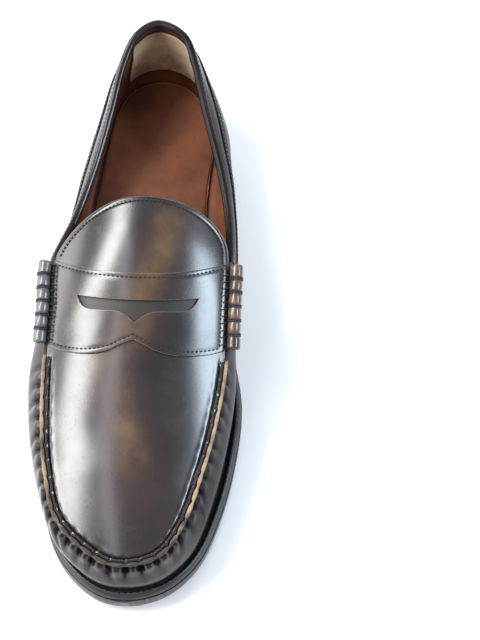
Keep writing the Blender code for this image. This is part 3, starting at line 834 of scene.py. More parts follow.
def edge_wax(name, colour, pale, dullness):
    """Sole edge dressing: dark wax set with a hot iron, with fine lines along it."""
    f = Finish(name, Coat_Weight=0.12, Coat_Roughness=0.25, Specular_IOR_Level=0.4)
    lines = f.cloud(60.0, 4.0, 0.6, f.stretched(1.0, 1.0, 42.0))
    broad = f.cloud(40.0, 3.0, 0.6)
    rub = f.cloud(240.0, 4.0, 0.7)
    base = f.blend(colour, pale, lines.between(0.42, 0.7) * 0.6)
    f.colour(f.blend(base, toned(colour, 0.45), rub.between(0.5, 0.75) * broad.between(0.3, 0.7)))
    f.roughness(dullness + (rub - 0.5) * 0.22)
    f.relief(lines * 0.8 + rub * 0.35, 0.1)
    return f.material


def waxed_thread(name, colour, pale):
    """Twisted thread: the plies run round it, and wax catches the light."""
    f = Finish(name, Specular_IOR_Level=0.4, Coat_Weight=0.05, Coat_Roughness=0.3)
    ply_gap = 0.55 * MM
    ply = ((f.x + f.y + f.z * 0.7) * (2 * math.pi / ply_gap)).sine()
    fibre = f.cloud(3200.0, 3.0, 0.6)
    f.colour(f.blend(colour, pale, (ply * 0.5 + 0.5) * fibre.between(0.3, 0.7)))
    f.roughness(0.58 + (fibre - 0.5) * 0.2)
    f.relief(ply * 0.5 + 0.5 + fibre * 0.3, 0.09)
    return f.material


def sole_leather(name, colour, deep, worn=True):
    """Oak-bark sole leather, compressed and scratched by walking."""
    f = Finish(name, Specular_IOR_Level=0.35)
    broad = f.cloud(24.0, 4.0, 0.6)
    fibre = f.cloud(700.0, 4.0, 0.65)
    scratch = f.cloud(260.0, 4.0, 0.75, f.stretched(1.0, 0.08, 1.0), twist=0.4)
    base = f.blend(colour, deep, broad.between(0.35, 0.68))
    if worn:
        tread = f.y.between(-0.118, -0.095) * f.y.between(-0.02, -0.045)
        ground_in = tread * f.cloud(60.0, 4.0, 0.7).between(0.35, 0.65)
        base = f.blend(base, toned(deep, 0.35), ground_in * 0.85)
    base = f.blend(base, toned(deep, 0.4), scratch.between(0.6, 0.76) * 0.7)
    f.colour(f.blend(base, toned(colour, 1.3), fibre.between(0.55, 0.8) * 0.3))
    f.roughness(0.5 + (fibre - 0.5) * 0.3 + scratch * 0.1)
    f.relief(fibre * 0.6 + scratch * 0.9, 0.14)
    return f.material


def granular(name, light, dark, grain, dullness, depth):
    """Cork, board and rubber: packed grains."""
    f = Finish(name, Specular_IOR_Level=0.3)
    grains = f.cells(grain)
    fine = f.cloud(grain * 2.5, 4.0, 0.7)
    f.colour(f.blend(light, dark, (grains * 0.7 + fine * 0.5).between(0.35, 0.75)))
    f.roughness(dullness + (fine - 0.5) * 0.2)
    f.relief(grains + fine * 0.6, depth)
    return f.material


def metal(name, colour, dull, dullness):
    """Drawn metal with fine lines and dulled patches."""
    f = Finish(name, Metallic=1.0)
    lines = f.cloud(900.0, 3.0, 0.6, f.stretched(1.0, 12.0, 1.0))
    dulled = f.cloud(300.0, 4.0, 0.65)
    f.colour(f.blend(colour, dull, dulled.between(0.4, 0.7)))
    f.roughness(dullness + (dulled - 0.5) * 0.25)
    f.relief(lines, 0.03)
    return f.material


CALF = burnished_leather("burnished_calf")
CALF_APRON = burnished_leather("burnished_calf_apron", covered=True)
CALF_PLAIN = burnished_leather("burnished_calf_sides", patina=False, coat=0.6, gloss=0.09, sides=True)
CALF_ROLL = burnished_leather("burnished_roll_leather", patina=False, shine=0.3, copper_and_painted_reflection=True)
RAW_EDGE = cut_edge("raw_cut_edge", (0.36, 0.255, 0.155), (0.04, 0.028, 0.024), 0.55, toe=True)
STRAP_EDGE = cut_edge("strap_cut_edge", (0.34, 0.255, 0.17), (0.05, 0.035, 0.025), 0.66)
LINING = lining_leather("tan_lining", (0.17, 0.055, 0.022), (0.095, 0.028, 0.012))
GRIP = suede("heel_suede", (0.50, 0.34, 0.19), (0.27, 0.16, 0.085))
SOLE = sole_leather("sole_leather", (0.36, 0.22, 0.115), (0.24, 0.135, 0.065))
INSOLE = sole_leather("insole_leather", (0.42, 0.28, 0.16), (0.30, 0.18, 0.09), worn=False)
EDGE = edge_wax("sole_edge_wax", (0.022, 0.022, 0.024), (0.06, 0.061, 0.063), 0.3)
WELT = edge_wax("welt_wax", (0.017, 0.017, 0.019), (0.045, 0.046, 0.05), 0.3)
LIFT = edge_wax("heel_lift_wax", (0.026, 0.024, 0.024), (0.075, 0.07, 0.066), 0.36)
THREAD = waxed_thread("black_waxed_thread", (0.006, 0.006, 0.007), (0.035, 0.034, 0.036))
SEAM_THREAD = waxed_thread("seam_waxed_thread", (0.012, 0.012, 0.014), (0.085, 0.082, 0.086))
WELT_THREAD = waxed_thread("welt_thread", (0.012, 0.012, 0.013), (0.10, 0.10, 0.105))
CORK = granular("cork_grains", (0.42, 0.27, 0.15), (0.16, 0.09, 0.045), 480.0, 0.85, 0.4)
BOARD = granular("counter_fibre_board", (0.40, 0.31, 0.21), (0.26, 0.18, 0.11), 1500.0, 0.85, 0.12)
RUBBER = granular("top_lift_rubber", (0.022, 0.022, 0.023), (0.008, 0.008, 0.008), 900.0, 0.66, 0.12)
STEEL = metal("shank_steel", (0.55, 0.56, 0.58), (0.34, 0.34, 0.35), 0.35)
BRASS = metal("nail_brass", (0.72, 0.50, 0.22), (0.40, 0.26, 0.11), 0.3)


# ---- bottom ----


def layer(height):
    return lambda p: lifted(p, height)


def level(z):
    return lambda p: Vector((p.x, p.y, z))


def make_outsole():
    rungs = ladder(lambda t, s: sole_edge(side(t, s)), crowded(0, HEEL, 190), 12)
    piece = slab("outsole_leather", rungs, layer(0.0), layer(5.0), [SOLE, EDGE], edge=0.75, segments=4)
    for face in piece.data.polygons:
        if face.normal.z > -0.85:
            face.material_index = 1
    settle(piece, "sole_leather", "outsole")


def welt_ridge(t):
    """How far inside the sole's edge the stitched strip of the welt ends."""
    return 1.6 + 0.42 * (rib(t)[6] - 1.6)


def welt_section(t):
    """The welt across: bevelled edge, raised stitched strip, and the deep groove against the upper."""
    width, ridge, raised = rib(t)[6], welt_ridge(t), 0.5
    groove = min(1.5, width - ridge)
    places = (
        (width + 2.0, 5.45), (2.0, 5.45), (0.55, 5.45), (0.4, 5.8), (0.55, 6.5), (0.95, 7.4), (1.35, 8.1),
        (WELT_BEVEL, 8.45 + raised * 0.4), (mix(WELT_BEVEL, ridge, 0.5), 8.5 + raised),
        (ridge - 0.15, 8.35 + raised * 0.8), (ridge + 0.1, 8.0), (ridge + 0.35 * groove, 7.3),
        (ridge + 0.7 * groove, 7.0), (width + 0.3, 7.1), (width + 2.0, 7.3),
    )
    return [lifted(sole_edge(t, inset), height) for inset, height in places]


def make_welt():
    for name, node, first, last, count in (
        ("storm_welt", "welt", -WELT_END, WELT_END, 420),
        ("heel_seat_rand", "heel_rand", RAND_START, ROUND - RAND_START, 150),
    ):
        sections = [welt_section(t)[::-1] for t in stations(first, last, count)]
        edge_rows = (6, 12, 1)
        closed_hide(name, sections, [WELT, EDGE], "edge_dressed_leather", node, 60, bands=[edge_rows])
    line = []
    for t in stations(0.05 - WELT_END, WELT_END - 0.05, 900):
        line.append(lifted(sole_edge(t, mix(WELT_BEVEL, welt_ridge(t), 0.55)), 9.02))
    sew("welt_stitches", stitch_row(line, 3.1, lambda p, n: UP), WELT_THREAD, 2.5, 0.36)


def heel_rungs(inset):
    """Rungs of a heel lift, whose front edge bows back under the waist."""
    across, along = 14, 70
    rungs = ladder(lambda t, s: sole_edge(side(t, s), inset), crowded(8.9, HEEL, along), across)
    for k, row in enumerate(rungs):
        share = k / along / 0.31
        if share < 1:
            for j, point in enumerate(row):
                point.y += 4.0 * (1 - share) * (1 - (2 * j / across - 1) ** 2)
    return rungs


def make_heel():
    def under_seat(p):
        return Vector((p.x, p.y, sole_bottom(p.y) - 0.4))

    low = TOP_LIFT_Z
    for n in (1, 2, 3):
        high = under_seat if n == 3 else level(low + LIFT_HEIGHT)
        rungs = heel_rungs(1.6 - 0.5 * n)
        piece = slab(f"leather_lift_{n}", rungs, level(low), high, [LIFT], edge=0.28)
        settle(piece, "edge_dressed_leather", f"heel_lift_{n}", angle=50)
        low += LIFT_HEIGHT + LIFT_GAP


def dress_cad():
    """CAD nodes whose shape is already right get their real finish."""
    looks = {
        "cork_filler": CORK, "shank": STEEL, "insole": INSOLE, "heel_counter": BOARD,
        "heel_top_lift": RUBBER, "apron_lining": LINING, "vamp_lining": LINING,
    }
    for n in range(5):
        looks[f"heel_nail_{n + 1}"] = BRASS
    for name, look in looks.items():
        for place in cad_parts[name].material_slots:
            place.material = look


# ---- upper ----


def wall_gather(t, down):
    """How far the gathers draw the wall in at this depth below the seam, and how much painted shade it gets
    there, most in the pits and pleats just under the seam.
    """
    share = gather_share(t)
    if share <= 0:
        return 0.0, 0.0
    length = seam_length(t)
    off, depth, run, lean = gather(length)
    aside = off - lean * (down - 2)
    pit = 2.5 * depth * bell(off, 1.6) * bell(down - 2.2, 2.4)
    pleat = 1.35 * depth * bell(aside, 1.0 + 0.1 * down) * (1 - ramp(down, 3.0, run + 4))
    fold = 1.25 * lobe(length) * bell(down - 2.4, 4.0)
    neck = 0.35 * bell(down - 0.7, 1.3)
    dark = depth * bell(aside, 1.5) * (1 - ramp(down, 2.5, 8.5)) + 0.35 * bell(down - 0.3, 0.9)
    drawn = share * (pit + pleat + neck - fold)
    if drawn > STRETCHED:
        drawn = STRETCHED + 0.4 * (drawn - STRETCHED)
    return drawn, min(1.0, share * dark)


def turned_under(t, insets, height):
    """Points of the leather that is lasted under, from the first inset to the last."""
    return [lifted(feather(t, inset), height) for inset in insets]


def sidewall_section(t):
    """Round the wall's leather: up the outside, over the raised cut edge and down the inside."""
    foot, top = wall_surface(t, 0), wall_surface(t, 1)
    span = (top - foot).length * 1.08
    share = gather_share(t)
    off, depth, _, _ = gather(seam_length(t))
    trimmed = ramp(rib(t)[3], *LIP_TRIMMED)
    lip = mix(2.85, 0.3, trimmed)
    pinch = share * depth * bell(off, 1.25)
    out = outward(t, 2).to_3d()
    section = turned_under(t, (9.0, 4.0, 1.0), WALL_FOOT)
    pressed = [0.0] * len(section)
    near = [1 - depth_below / span for depth_below in NEAR_SEAM]
    levels = [h for h in WALL_LEVELS if h < near[0] - 0.02]
    while len(levels) < len(WALL_LEVELS):
        levels.append((levels[-1] + near[0]) / 2)
    for h in levels + near:
        p, normal = on_wall(t, h)
        # dark is how much painted shade the point gets, darkest in the pits and pleats under the seam
        inset, dark = wall_gather(t, (1 - h) * span)
        section.append(p - normal * (inset - hand(p, 17, 0.22) * ramp(h, 0, 0.2)))
        pressed.append(dark)
    tall = lip - 0.3 * pinch + hand(top, 3.1, 0.22, 5) * (1 - trimmed)
    neck = 0.25 * share + 1.2 * pinch
    flare = (0.3 - 0.35 * bell(off, 1.6)) * share
    profile = (
        (-neck, 0.0), (-neck * 0.7, 0.18), (flare - 0.35 * pinch, 0.45), (flare, 0.7), (flare - 0.1, 0.92),
        (flare - 0.35, 1.0), (flare - 0.85, 1.02), (mix(flare - 1.4, flare - 1.0, pinch), 0.99),
        (-1.75 + 0.7 * pinch, 0.93), (-1.9 + 1.05 * pinch, 0.78), (-1.95 + 1.15 * pinch, 0.5),
        (-1.8 + 0.7 * pinch, 0.15),
    )
    for across, rise in profile:
        section.append(top + out * across + UP * (tall * rise))
    for h in INNER_LEVELS:
        p, normal = on_wall(t, h)
        drawn = max(0.45 * share, wall_gather(t, (1 - h) * span)[0])
        section.append(p - normal * (LEATHER + drawn))
    section += turned_under(t, (1.8, 4.0, 9.0), WALL_FOOT + LEATHER)
    return section, pressed + [0.0] * (len(section) - len(pressed))


def make_sidewall():
    sections, pressed = zip(*(sidewall_section(t) for t in stations(-SIDE_SEAM, SIDE_SEAM, 620)))
    raw_rows = (31, 36, 1)
    closed_hide(
        "moccasin_sidewall", list(sections), [CALF_PLAIN, RAW_EDGE], "burnished_leather", "vamp_sidewall",
        75, bands=[raw_rows], pressed=pressed,
    )


def apron_edge(inset):
    """The apron's outline on one side: seam from the toe to the throat, then the tongue's arc."""

    def edge(share, sign):
        if share <= APRON_SEAM:
            t = side(THROAT * share / APRON_SEAM, sign)
            return top_edge(t).to_2d() - outward(t, 2) * inset
        t = side(THROAT, sign)
        corner = top_edge(t).to_2d() - outward(t, 2) * inset
        corner.y = RIBS[int(THROAT)][3]
        turn = math.radians(90) * (share - APRON_SEAM) / (1 - APRON_SEAM)
        reach = TONGUE_REACH - max(0.0, inset - 2.0)
        rise = math.sin(turn) ** TONGUE_CORNER[sign]
        return Vector((corner.x * math.cos(turn), corner.y + reach * rise))

    return edge


def apron_rise(p):
    """Relief of the apron beside the seam: a sewn band, then a crack, then the smooth plug."""
    _, n, away = SEAM_TREE.find(Vector((p.x, p.y, 0)))
    if away > 9:
        return 0.0
    fade = 1 - ramp(p.y, -37.5, -32)
    length = SEAM_LENGTHS[n]
    off, depth, _, _ = gather(length)
    band = (0.75 - 0.45 * depth * bell(off, 1.3)) * (1 - ramp(away, 3.55, 4.2)) * ramp(away, 1.8, 2.5)
    crack = 0.95 * bell(away - 4.25 - 0.12 * math.sin(length * 2.1), 0.34)
    shoulder = 0.18 * bell(away - 5.6, 1.3)
    dimple = 0.2 * depth * bell(off, 1.6) * bell(away - 5.0, 1.2)
    return fade * (band - crack + shoulder - dimple)


def tongue_rise(p, tongue):
    """The tongue's free edge is rubbed round, and its stitching pressed in."""
    if p.y < 12:
        return 0.0
    away = tongue.find(Vector((p.x, p.y, 0)))[2]
    return -0.6 * bell(away, 0.6) - 0.2 * bell(away - 2.75, 0.75)


def tongue_tree(edge):
    """A tree of points on the tongue's free edge."""
    count = 400
    tree = kdtree.KDTree(2 * count)
    for n, share in enumerate(stations(APRON_SEAM, 1.0, count)):
        for sign in (1, -1):
            tree.insert(edge(share, sign).to_3d(), n)
    tree.balance()
    return tree


def make_apron():
    edge = apron_edge(LEATHER + 0.4)
    tongue = tongue_tree(edge)
    seam_rungs, tongue_rungs = 170, 56
    shares = []
    for k in range(seam_rungs):
        even = k / seam_rungs
        shares.append(APRON_SEAM * (0.25 * even + 0.75 * (1 - math.cos(math.pi / 2 * even))))
    shares += [mix(APRON_SEAM, 0.985, k / tongue_rungs) for k in range(tongue_rungs + 1)]
    across = crowded(0, 1, 121, 0.9)
    sections = []
    for share in shares:
        lateral, medial = edge(share, -1), edge(share, 1)
        row = []
        for a in across:
            p = lateral.lerp(medial, a).to_3d()
            p.z = instep(p.x, p.y) + apron_rise(p) + tongue_rise(p, tongue) + hand(p, 23, 0.16, 3)
            row.append(p)
        sections.append(row + [p - UP * LEATHER for p in reversed(row)])
    closed_hide("apron_plug", sections, [CALF_APRON], "burnished_leather", "apron", 60)

    # stitches round the tongue's free edge
    inner = apron_edge(4.7)
    shares = stations(0.715, 1.0, 160)
    line = [inner(share, -1) for share in shares] + [inner(share, 1) for share in shares[-2::-1]]
    line = [Vector((p.x, p.y - 0.4, instep(p.x, p.y - 0.4) + 0.1)) for p in line]
    line = [p for p in line if p.y > 13.5]
    sew("tongue_stitches", stitch_row(line, 2.2, lambda p, n: instep_normal(p)), THREAD, 1.45, 0.45)


def instep_normal(p):
    dx = instep(p.x + 0.5, p.y) - instep(p.x - 0.5, p.y)
    dy = instep(p.x, p.y + 0.5) - instep(p.x, p.y - 0.5)
    return Vector((-dx, -dy, 1)).normalized()


def make_seam_thread():
    """The thread between the apron and the raised edge, pulled down at every hand stitch."""
    strands = []
    for phase in (0.0, math.pi):
        line = []
        for t in stations(-THREAD_END, THREAD_END, 900):
            length = seam_length(t)
            off, depth, _, _ = gather(length)
            pull = depth * bell(off, 0.95)
            turn = length * 2 * math.pi / 3.4 + phase
            aside = 3.05 + 0.3 * math.cos(turn) - 0.95 * pull
            p = top_edge(t).to_2d() - outward(t, 2) * aside
            z = instep(p.x, p.y) + 1.05 + 0.28 * math.sin(turn) - 0.75 * pull
            line.append(Vector((p.x, p.y, z)))
        strands.append(tube("strand", line, 0.36, 6, SEAM_THREAD))
    settle(join("moccasin_thread", strands), "waxed_thread", "apron_thread", angle=60)


def strap_point(a, y, lift):
    """A point over the apron, with a from 0 at its middle to 1 at the medial seam, -1 at the lateral."""
    edge = top_edge(seam_place(round(y, 3), 1 if a > 0 else -1)).x
    middle = curve(RIDGE_X, y)
    x = mix(middle, edge, abs(a) * (1 - 2.5 / abs(edge - middle)))
    return Vector((x, y, instep(x, y) + lift))


def strap_front(u):
    return curve(STRAP_FRONT, u)


def strap_rear(u):
    return 2.2 + 13.3 * u**2.2


def slot_high(u):
    return SLOT_Y + SLOT_BOW * (u / SLOT_HALF) ** 2


def slot_low(u):
    return slot_high(u) - curve(SLOT_DEPTH, u)


def strap_rise(a, y):
    """Relief of the strap: pressed in along its stitching, and rolled down near its front and rear edges and
    its ends.
    """
    u = abs(a)
    near = min(y - strap_front(u), strap_rear(u) - y, (1 - u) * 44.0)
    pressed = 0.22 * bell(near - 2.0, 0.8)
    rolled = 0.3 * bell(min(near, 3.0), 0.7)
    return -pressed - rolled * 0.5 + hand(Vector((a * 45, y, 0)), 15, 0.16, 9)


def make_strap():
    middle = [0, 0.02, 0.04, 0.065, 0.09, 0.13, 0.17] + stations(0.2, 0.6, 17)
    slot_end = [0.62, 0.64, 0.665, 0.68, 0.69, SLOT_HALF]
    end = stations(0.72, 0.94, 9) + [0.955, 0.968, 0.98, 0.99, 1.0]
    half = [round(u, 4) for u in middle + slot_end + end]
    shares = [-a for a in half[:0:-1]] + half
    bands = []
    for name, first, last in (("front", strap_front, slot_low), ("rear", slot_high, strap_rear)):
        sections = []
        for a in shares:
            u = abs(a)
            ys = crowded(first(u), last(u), 22, 0.8)
            sections.append([strap_point(a, y, 2.3 + strap_rise(a, y)) for y in ys])
        bands.append(loft(name, sections, looks=[CALF, STRAP_EDGE]))
    piece = join("saddle_strap_leather", bands)
    tidy(piece)
    thicken(piece, LEATHER, rim=1)
    round_edges(piece, 0.32, 2, 55, look=1)
    settle(piece, "burnished_leather", "saddle_strap", angle=50)

    lift = 2.2
    across = stations(-0.945, 0.945, 240)
    rows = [
        [strap_point(a, strap_rear(abs(a)) - 2.0, lift) for a in across],
        [strap_point(a, strap_front(abs(a)) + 2.2, lift) for a in across],
    ]
    for a in (-0.95, 0.95):
        along = stations(strap_front(0.95) + 2.4, strap_rear(0.95) - 2.2, 80)
        rows.append([strap_point(a, y, lift) for y in along])
    places = []
    for row in rows:
        places += stitch_row(row, 2.35, lambda p, n: instep_normal(p))
    sew("strap_stitches", places, THREAD, 1.55, 0.5)


def make_end_loops():
    """Whip stitches that draw each end of the strap to its roll."""
    loops = []
    for sign in (1, -1):
        for y in stations(-26.0, 12.0, 12):
            inner = strap_point(0.965 * sign, y, 2.35)
            outer = roll_centre(y + 0.9, sign) - Vector((3.0 * sign, 0, 0.6))
            line = []
            for share in stations(0, 1, 13):
                arch = 0.9 * math.sin(math.pi * share) - 0.3 * (1 - share)
                line.append(inner.lerp(outer, share) + UP * arch)
            loops.append(tube("loop", line, 0.36, 7, THREAD, up=Vector((0, 1, 0))))
    settle(join("strap_end_loops", loops), "waxed_thread", angle=60)


def roll_centre(y, sign):
    t = seam_place(round(y, 3), sign)
    return top_edge(t) + outward(t, 2).to_3d() * 2.2 + UP * 4.0


def roll_frame(y, sign):
    """Unit vectors along, across and up from a roll."""
    along = (roll_centre(y + 1, sign) - roll_centre(y - 1, sign)).normalized()
    across = along.cross(UP).normalized()
    return along, across, across.cross(along)


def make_rolls():
    """Each roll is tied by wraps of thread into cells that swell between them."""
    cells, fine = 6, 14
    steps = cells * fine
    turns = [2 * math.pi * n / 40 for n in range(40)]
    for name, sign in (("medial", 1), ("lateral", -1)):
        outside, inside = [], []
        for k in range(steps + 1):
            y = mix(ROLL_FRONT, ROLL_REAR, k / steps)
            _, across, up = roll_frame(y, sign)
            centre = roll_centre(y, sign)
            cell = k / fine
            swell = abs(math.sin(math.pi * cell)) ** 0.55
            reach = min(cell, cells - cell)
            if reach < 1:
                # the free ends flare a little
                swell = max(swell, 1 - ramp(reach, 0.25, 0.95)) * mix(1.06, 1.0, ramp(reach, 0, 0.5))
            rubbed = {0: 0.88, 1: 0.97}.get(min(k, steps - k), 1.0)
            radius = mix(ROLL_TIED, ROLL_FULL, swell) * rubbed
            ring = []
            for angle in turns:
                crease = 0.12 * (1 - swell) * math.sin(9 * angle + 2.3 * int(cell + 0.5))
                lap = 0.3 * bell((angle - 2.2 - 0.02 * cell) % (2 * math.pi), 0.16)
                ring.append(round_from(centre, across, up, radius + crease - lap, angle))
            outside.append(ring)
            inside.append([round_from(centre, across, up, ROLL_BORE, angle) for angle in turns])
        sections = outside + inside[::-1]
        piece = loft(f"beef_roll_leather_{name}", sections, ring=True, loop=True, looks=[CALF_ROLL])
        tidy(piece, outside=True)
        settle(piece, "burnished_leather", f"beef_roll_{name}", angle=60)
        for n in range(1, cells):
            y = mix(ROLL_FRONT, ROLL_REAR, n / cells)
            centre = roll_centre(y, sign)
            along, across, up = roll_frame(y, sign)
            loops = []
            for shift in (-0.5, 0.5):
                line = []
                for turn in turns:
                    out = across * math.cos(turn) + up * math.sin(turn)
                    weave = 0.1 * math.sin(3 * turn + n - 1)
                    line.append(centre + out * 3.3 + along * (shift + weave))
                loops.append(tube("loop", line, 0.43, 8, SEAM_THREAD, closed=True, up=along))
            piece = join(f"roll_wrap_thread_{name}_{n}", loops)
            settle(piece, "waxed_thread", f"roll_wrap_{name}_{n}", angle=60)


def back_stations(name, count, seam=0.004, gap=0.006):
    """Rib places of one quarter, from its side seam to the back seam."""
    places = stations(SIDE_SEAM + seam, HEEL - gap, count)
    return places if name == "medial" else [ROUND - t for t in reversed(places)]


def make_quarters():
    rows = []
    for name in ("medial", "lateral"):
        sections = []
        for t in back_stations(name, 150):
            section = turned_under(t, (8.0, 3.0), WALL_FOOT)
            for h in [0.0, 0.02, 0.06] + stations(0.1, COLLAR_SHARE, 24):
                p, normal = on_wall(t, h)
                pressed = 0.18 * bell((h - COLLAR_SHARE + 0.045) * 45, 1.2)
                section.append(p + normal * (hand(p, 19, 0.2, 1) * ramp(h, 0, 0.15) - pressed))
            sections.append(section)
        cut_hide(
            f"quarter_leather_{name}", sections, [CALF_PLAIN], LEATHER, 0.4, "burnished_leather",
            f"quarter_{name}", segments=3,
        )

        sections = []
        for t in back_stations(name, 150):
            section = []
            for h in stations(COLLAR_SHARE + 0.012, 1.0, 12):
                p, normal = on_wall(t, h)
                puff = 0.25 * math.sin(math.pi * ramp(h, COLLAR_SHARE, 1.0))
                section.append(p - normal * (0.6 - puff - hand(p, 9, 0.12, 2)))
            sections.append(section)
        cut_hide(
            f"collar_leather_{name}", sections, [CALF_PLAIN], 0.9, 0.25, "burnished_leather",
            f"collar_{name}",
        )

        for below in (1.5, 3.9):
            line, normals = [], []
            for t in back_stations(name, 260, seam=0.08, gap=0.06):
                tall = (wall_surface(t, 1) - wall_surface(t, 0)).length
                p, normal = on_wall(t, COLLAR_SHARE - below / tall)
                line.append(p - normal * 0.02)
                normals.append(normal)
            rows += stitch_row(line, 2.5, lambda p, n: normals[n])
    sew("quarter_stitches", rows, THREAD, 1.7, 0.34)


def kicker_top(t):
    reach = max(0.0, 1 - abs(t - HEEL) / KICKER_HALF)
    return mix(0.40, 0.62, reach**0.6)


def make_kicker():
    sections = []
    for t in stations(HEEL - KICKER_HALF, HEEL + KICKER_HALF, 60):
        section = []
        for h in crowded(0.03, kicker_top(t), 22, 0.5):
            p, normal = on_wall(t, h)
            section.append(p + normal * (1.6 + hand(p, 12, 0.1, 4)))
        sections.append(section)
    cut_hide(
        "heel_kicker_leather", sections, [CALF_PLAIN], 1.2, 0.35, "burnished_leather", "heel_kicker",
        segments=3, bevel=55, angle=45,
    )
    line = []
    for t in stations(HEEL - 0.62, HEEL + 0.62, 220):
        p, normal = on_wall(t, kicker_top(t) - 0.035)
        line.append(p + normal * 1.55)
    back = outward(HEEL).to_3d()
    sew("kicker_stitches", stitch_row(line, 2.3, lambda p, n: back), THREAD, 1.6, 0.27)


def lining_inset(t, h):
    """How far the lining lies inside the wall; more where the heel counter is between them."""
    near = ramp(t, 9.3, 9.9) * (1 - ramp(t, 16.1, 16.7))
    return 1.95 + 1.4 * near * (1 - ramp(h, 0.63, 0.8))


def lining_column(t, levels, deeper=0.0, worn=0.12):
    start = 1.9 / (top_edge(t).z - wall_surface(t, 0).z)
    column = []
    for level_wanted in levels:
        h = max(level_wanted, start)
        p, normal = on_wall(t, h)
        column.append(p - normal * (lining_inset(t, h) + deeper + abs(hand(p, 11, worn, 6))))
    return column


def make_linings():
    for name in ("medial", "lateral"):
        front = [6.7, 6.8, 6.9, 7.0]
        if name == "lateral":
            front = [ROUND - t for t in front]
        sections = []
        for t in sorted(back_stations(name, 110) + front):
            turned = turned_under(t, (5.3, 3.6), WALL_FOOT + 2.2)
            sections.append(turned + lining_column(t, stations(0.0, 0.995, 26)))
        cut_hide(
            f"lining_{name}", sections, [LINING], 0.8, 0.2, "lining_leather", f"quarter_lining_{name}",
        )
    places = [t for t in back_stations("medial", 110) if t > HEEL - 1.3]
    places += [ROUND - t for t in reversed(places)]
    sections = [lining_column(t, stations(0.24, 0.86, 30), 1.4, 0.25) for t in places]
    cut_hide("heel_grip_suede", sections, [GRIP], 0.8, 0.25, "heel_grip_suede", "heel_grip")


def make_sock():
    """The sock lining, dished by the foot."""

    def top(p):
        dish = 0.55 * bell(p.x - 1.5, 17) * ramp(p.y, 55, 100)
        return lifted(p, 15.0 - dish + hand(Vector((p.x, p.y, 0)), 13, 0.12, 8))

    rungs = ladder(lambda t, s: feather(side(t, s), 5.6), crowded(6.0, HEEL, 110), 30)
    piece = slab("sock_leather", rungs, layer(14.0), top, [LINING], 0.25, angle=60, segments=2)
    settle(piece, "lining_leather", "sock_lining", angle=60)


def binding_share(t):
    """0 where the binding starts under the tongue, 1 where it has its full width."""
    return ramp(min(t, ROUND - t), BINDING_START, BINDING_FULL)


def binding_reach(t):
    """How far inside the top edge the binding comes."""
    return mix(1.7, 3.55, binding_share(t))


def make_binding():
    outer, deep = -0.15, -3.0
    first = [BINDING_START] + [t for t in back_stations("medial", 230) if t > BINDING_START + 0.005]
    sections = []
    for t in first + [ROUND - t for t in reversed(first)]:
        out, up = wall_frame(t, 1.0)
        top = wall_surface(t, 1.0)
        inner = binding_reach(t)
        wide = inner - outer
        tall = mix(0.4, 1.0, binding_share(t)) + hand(top, 7, 0.1, 11)
        section = (
            (outer + 0.02, deep), (outer - 0.06, -2.0), (outer - 0.1, -0.9), (outer, 0.0),
            (outer + 0.07 * wide, 0.5 * tall), (outer + 0.2 * wide, 0.85 * tall), (outer + 0.38 * wide, tall),
            (inner - 0.38 * wide, tall), (inner - 0.2 * wide, 0.85 * tall), (inner - 0.07 * wide, 0.5 * tall),
            (inner, 0.0), (inner + 0.06, -0.9), (inner + 0.05, -2.0), (inner, deep), (inner - 0.4, deep),
            (inner - 0.42, -0.1), (inner - 0.22 * wide, 0.3 * tall), (outer + 0.22 * wide, 0.3 * tall),
            (outer + 0.42, -0.1), (outer + 0.4, deep),
        )
        sections.append([top - out * inset + up * rise for inset, rise in reversed(section)])
    closed_hide(
        "topline_binding_leather", sections, [CALF_PLAIN], "burnished_leather", "topline_binding", 60,
    )

    # a row of stitches down each side of the binding
    rows = []
    for inside, rise in ((False, -1.7), (True, -1.9)):
        line, normals = [], []
        for t in stations(7.14, ROUND - 7.14, 600):
            out, up = wall_frame(t, 1.0)
            inset = binding_reach(t) + 0.06 if inside else outer - 0.05
            line.append(wall_surface(t, 1.0) - out * inset + up * rise)
            normals.append(-out if inside else out)
        rows += stitch_row(line, 2.4, lambda p, n: normals[n])
    sew("binding_stitches", rows, THREAD, 1.5, 0.32)


def make_back_seam():
    """The closed back seam above the kicker, drawn flat by short stitches across it."""
    line = []
    for h in stations(0.66, 0.97, 40):
        p, normal = on_wall(HEEL, h)
        line.append(p + normal * (0.1 if h < COLLAR_SHARE else -0.35))
    back, across = outward(HEEL).to_3d(), Vector((1, 0, 0))
    places = [(p, across, back) for p, _, _ in stitch_row(line, 1.5, lambda p, n: back)]
    sew("back_seam_stitches", places, THREAD, 1.7, 0.2)


# ---- studio ----


def make_floor():
    put_down()
    bpy.ops.mesh.primitive_grid_add(x_subdivisions=4, y_subdivisions=4, size=6.0, location=(0, 0, 0))
    floor = bpy.context.object
    floor.name = floor.data.name = "studio_floor"
    f = Finish("studio_paper", Specular_IOR_Level=0.2)
    f.colour(f.blend((0.90, 0.90, 0.91), (0.93, 0.93, 0.935), f.cloud(6.0)))
    f.roughness(0.75 + (f.cloud(40.0) - 0.5) * 0.1)
    floor.data.materials.append(f.material)


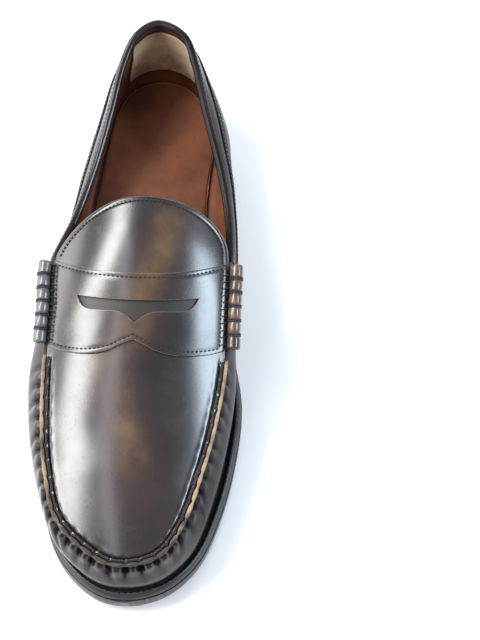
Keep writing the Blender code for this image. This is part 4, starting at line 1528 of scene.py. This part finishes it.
def softbox(name, place, target, width, length, power, colour, twist=0.0):
    light = bpy.data.lights.new(name, "AREA")
    light.shape = "RECTANGLE"
    light.size, light.size_y, light.energy, light.color = width, length, power, colour
    made = bpy.data.objects.new(name, light)
    bpy.context.scene.collection.objects.link(made)
    made.location = place
    z = (Vector(place) - Vector(target)).normalized()
    x = Vector((0, 1, 0)).cross(z).normalized()
    x.rotate(Quaternion(z, math.radians(twist)))
    made.rotation_euler = Matrix((x, z.cross(x), z)).transposed().to_euler()


def make_studio():
    world = bpy.data.worlds.new("studio_air")
    bpy.context.scene.world = world
    world.use_nodes = True
    colour, strength = world.node_tree.nodes["Background"].inputs[:2]
    colour.default_value, strength.default_value = (0.86, 0.86, 0.90, 1.0), 0.5
    middle = (0.0, -0.03, 0.05)
    softbox("window_left", (-0.80, 0.04, 1.12), middle, 0.36, 1.0, 22.0, (1.0, 0.985, 0.95), -38.0)
    softbox("wall_left", (-1.28, 0.0, 0.40), middle, 0.60, 1.2, 14.0, (1.0, 1.0, 1.0))
    softbox("window_right", (1.06, -0.09, 0.86), middle, 0.33, 0.6, 12.5, (0.70, 0.86, 1.0))
    softbox("ceiling_left", (-0.42, -0.30, 1.35), middle, 0.22, 0.9, 2.6, (0.93, 0.90, 1.0))
    softbox("back_wall", (0.1, 1.3, 0.85), middle, 1.6, 0.7, 13.0, (1.0, 1.0, 1.0))
    camera = bpy.data.cameras.new("camera")
    made = bpy.data.objects.new("camera", camera)
    bpy.context.scene.collection.objects.link(made)
    camera.lens, camera.sensor_width = 90.0, 36.0
    camera.clip_start = 0.01
    made.location = (0.0584, -0.3556, 0.808)
    made.rotation_euler = (math.radians(24.5), math.radians(-0.4), math.radians(1.6))
    bpy.context.scene.camera = made
    bpy.context.scene.view_settings.view_transform = "Standard"


make_studio()
make_floor()
dress_cad()
make_outsole()
make_welt()
make_heel()
make_sidewall()
make_quarters()
make_kicker()
make_linings()
make_sock()
make_apron()
make_seam_thread()
make_strap()
make_end_loops()
make_rolls()
make_binding()
make_back_seam()
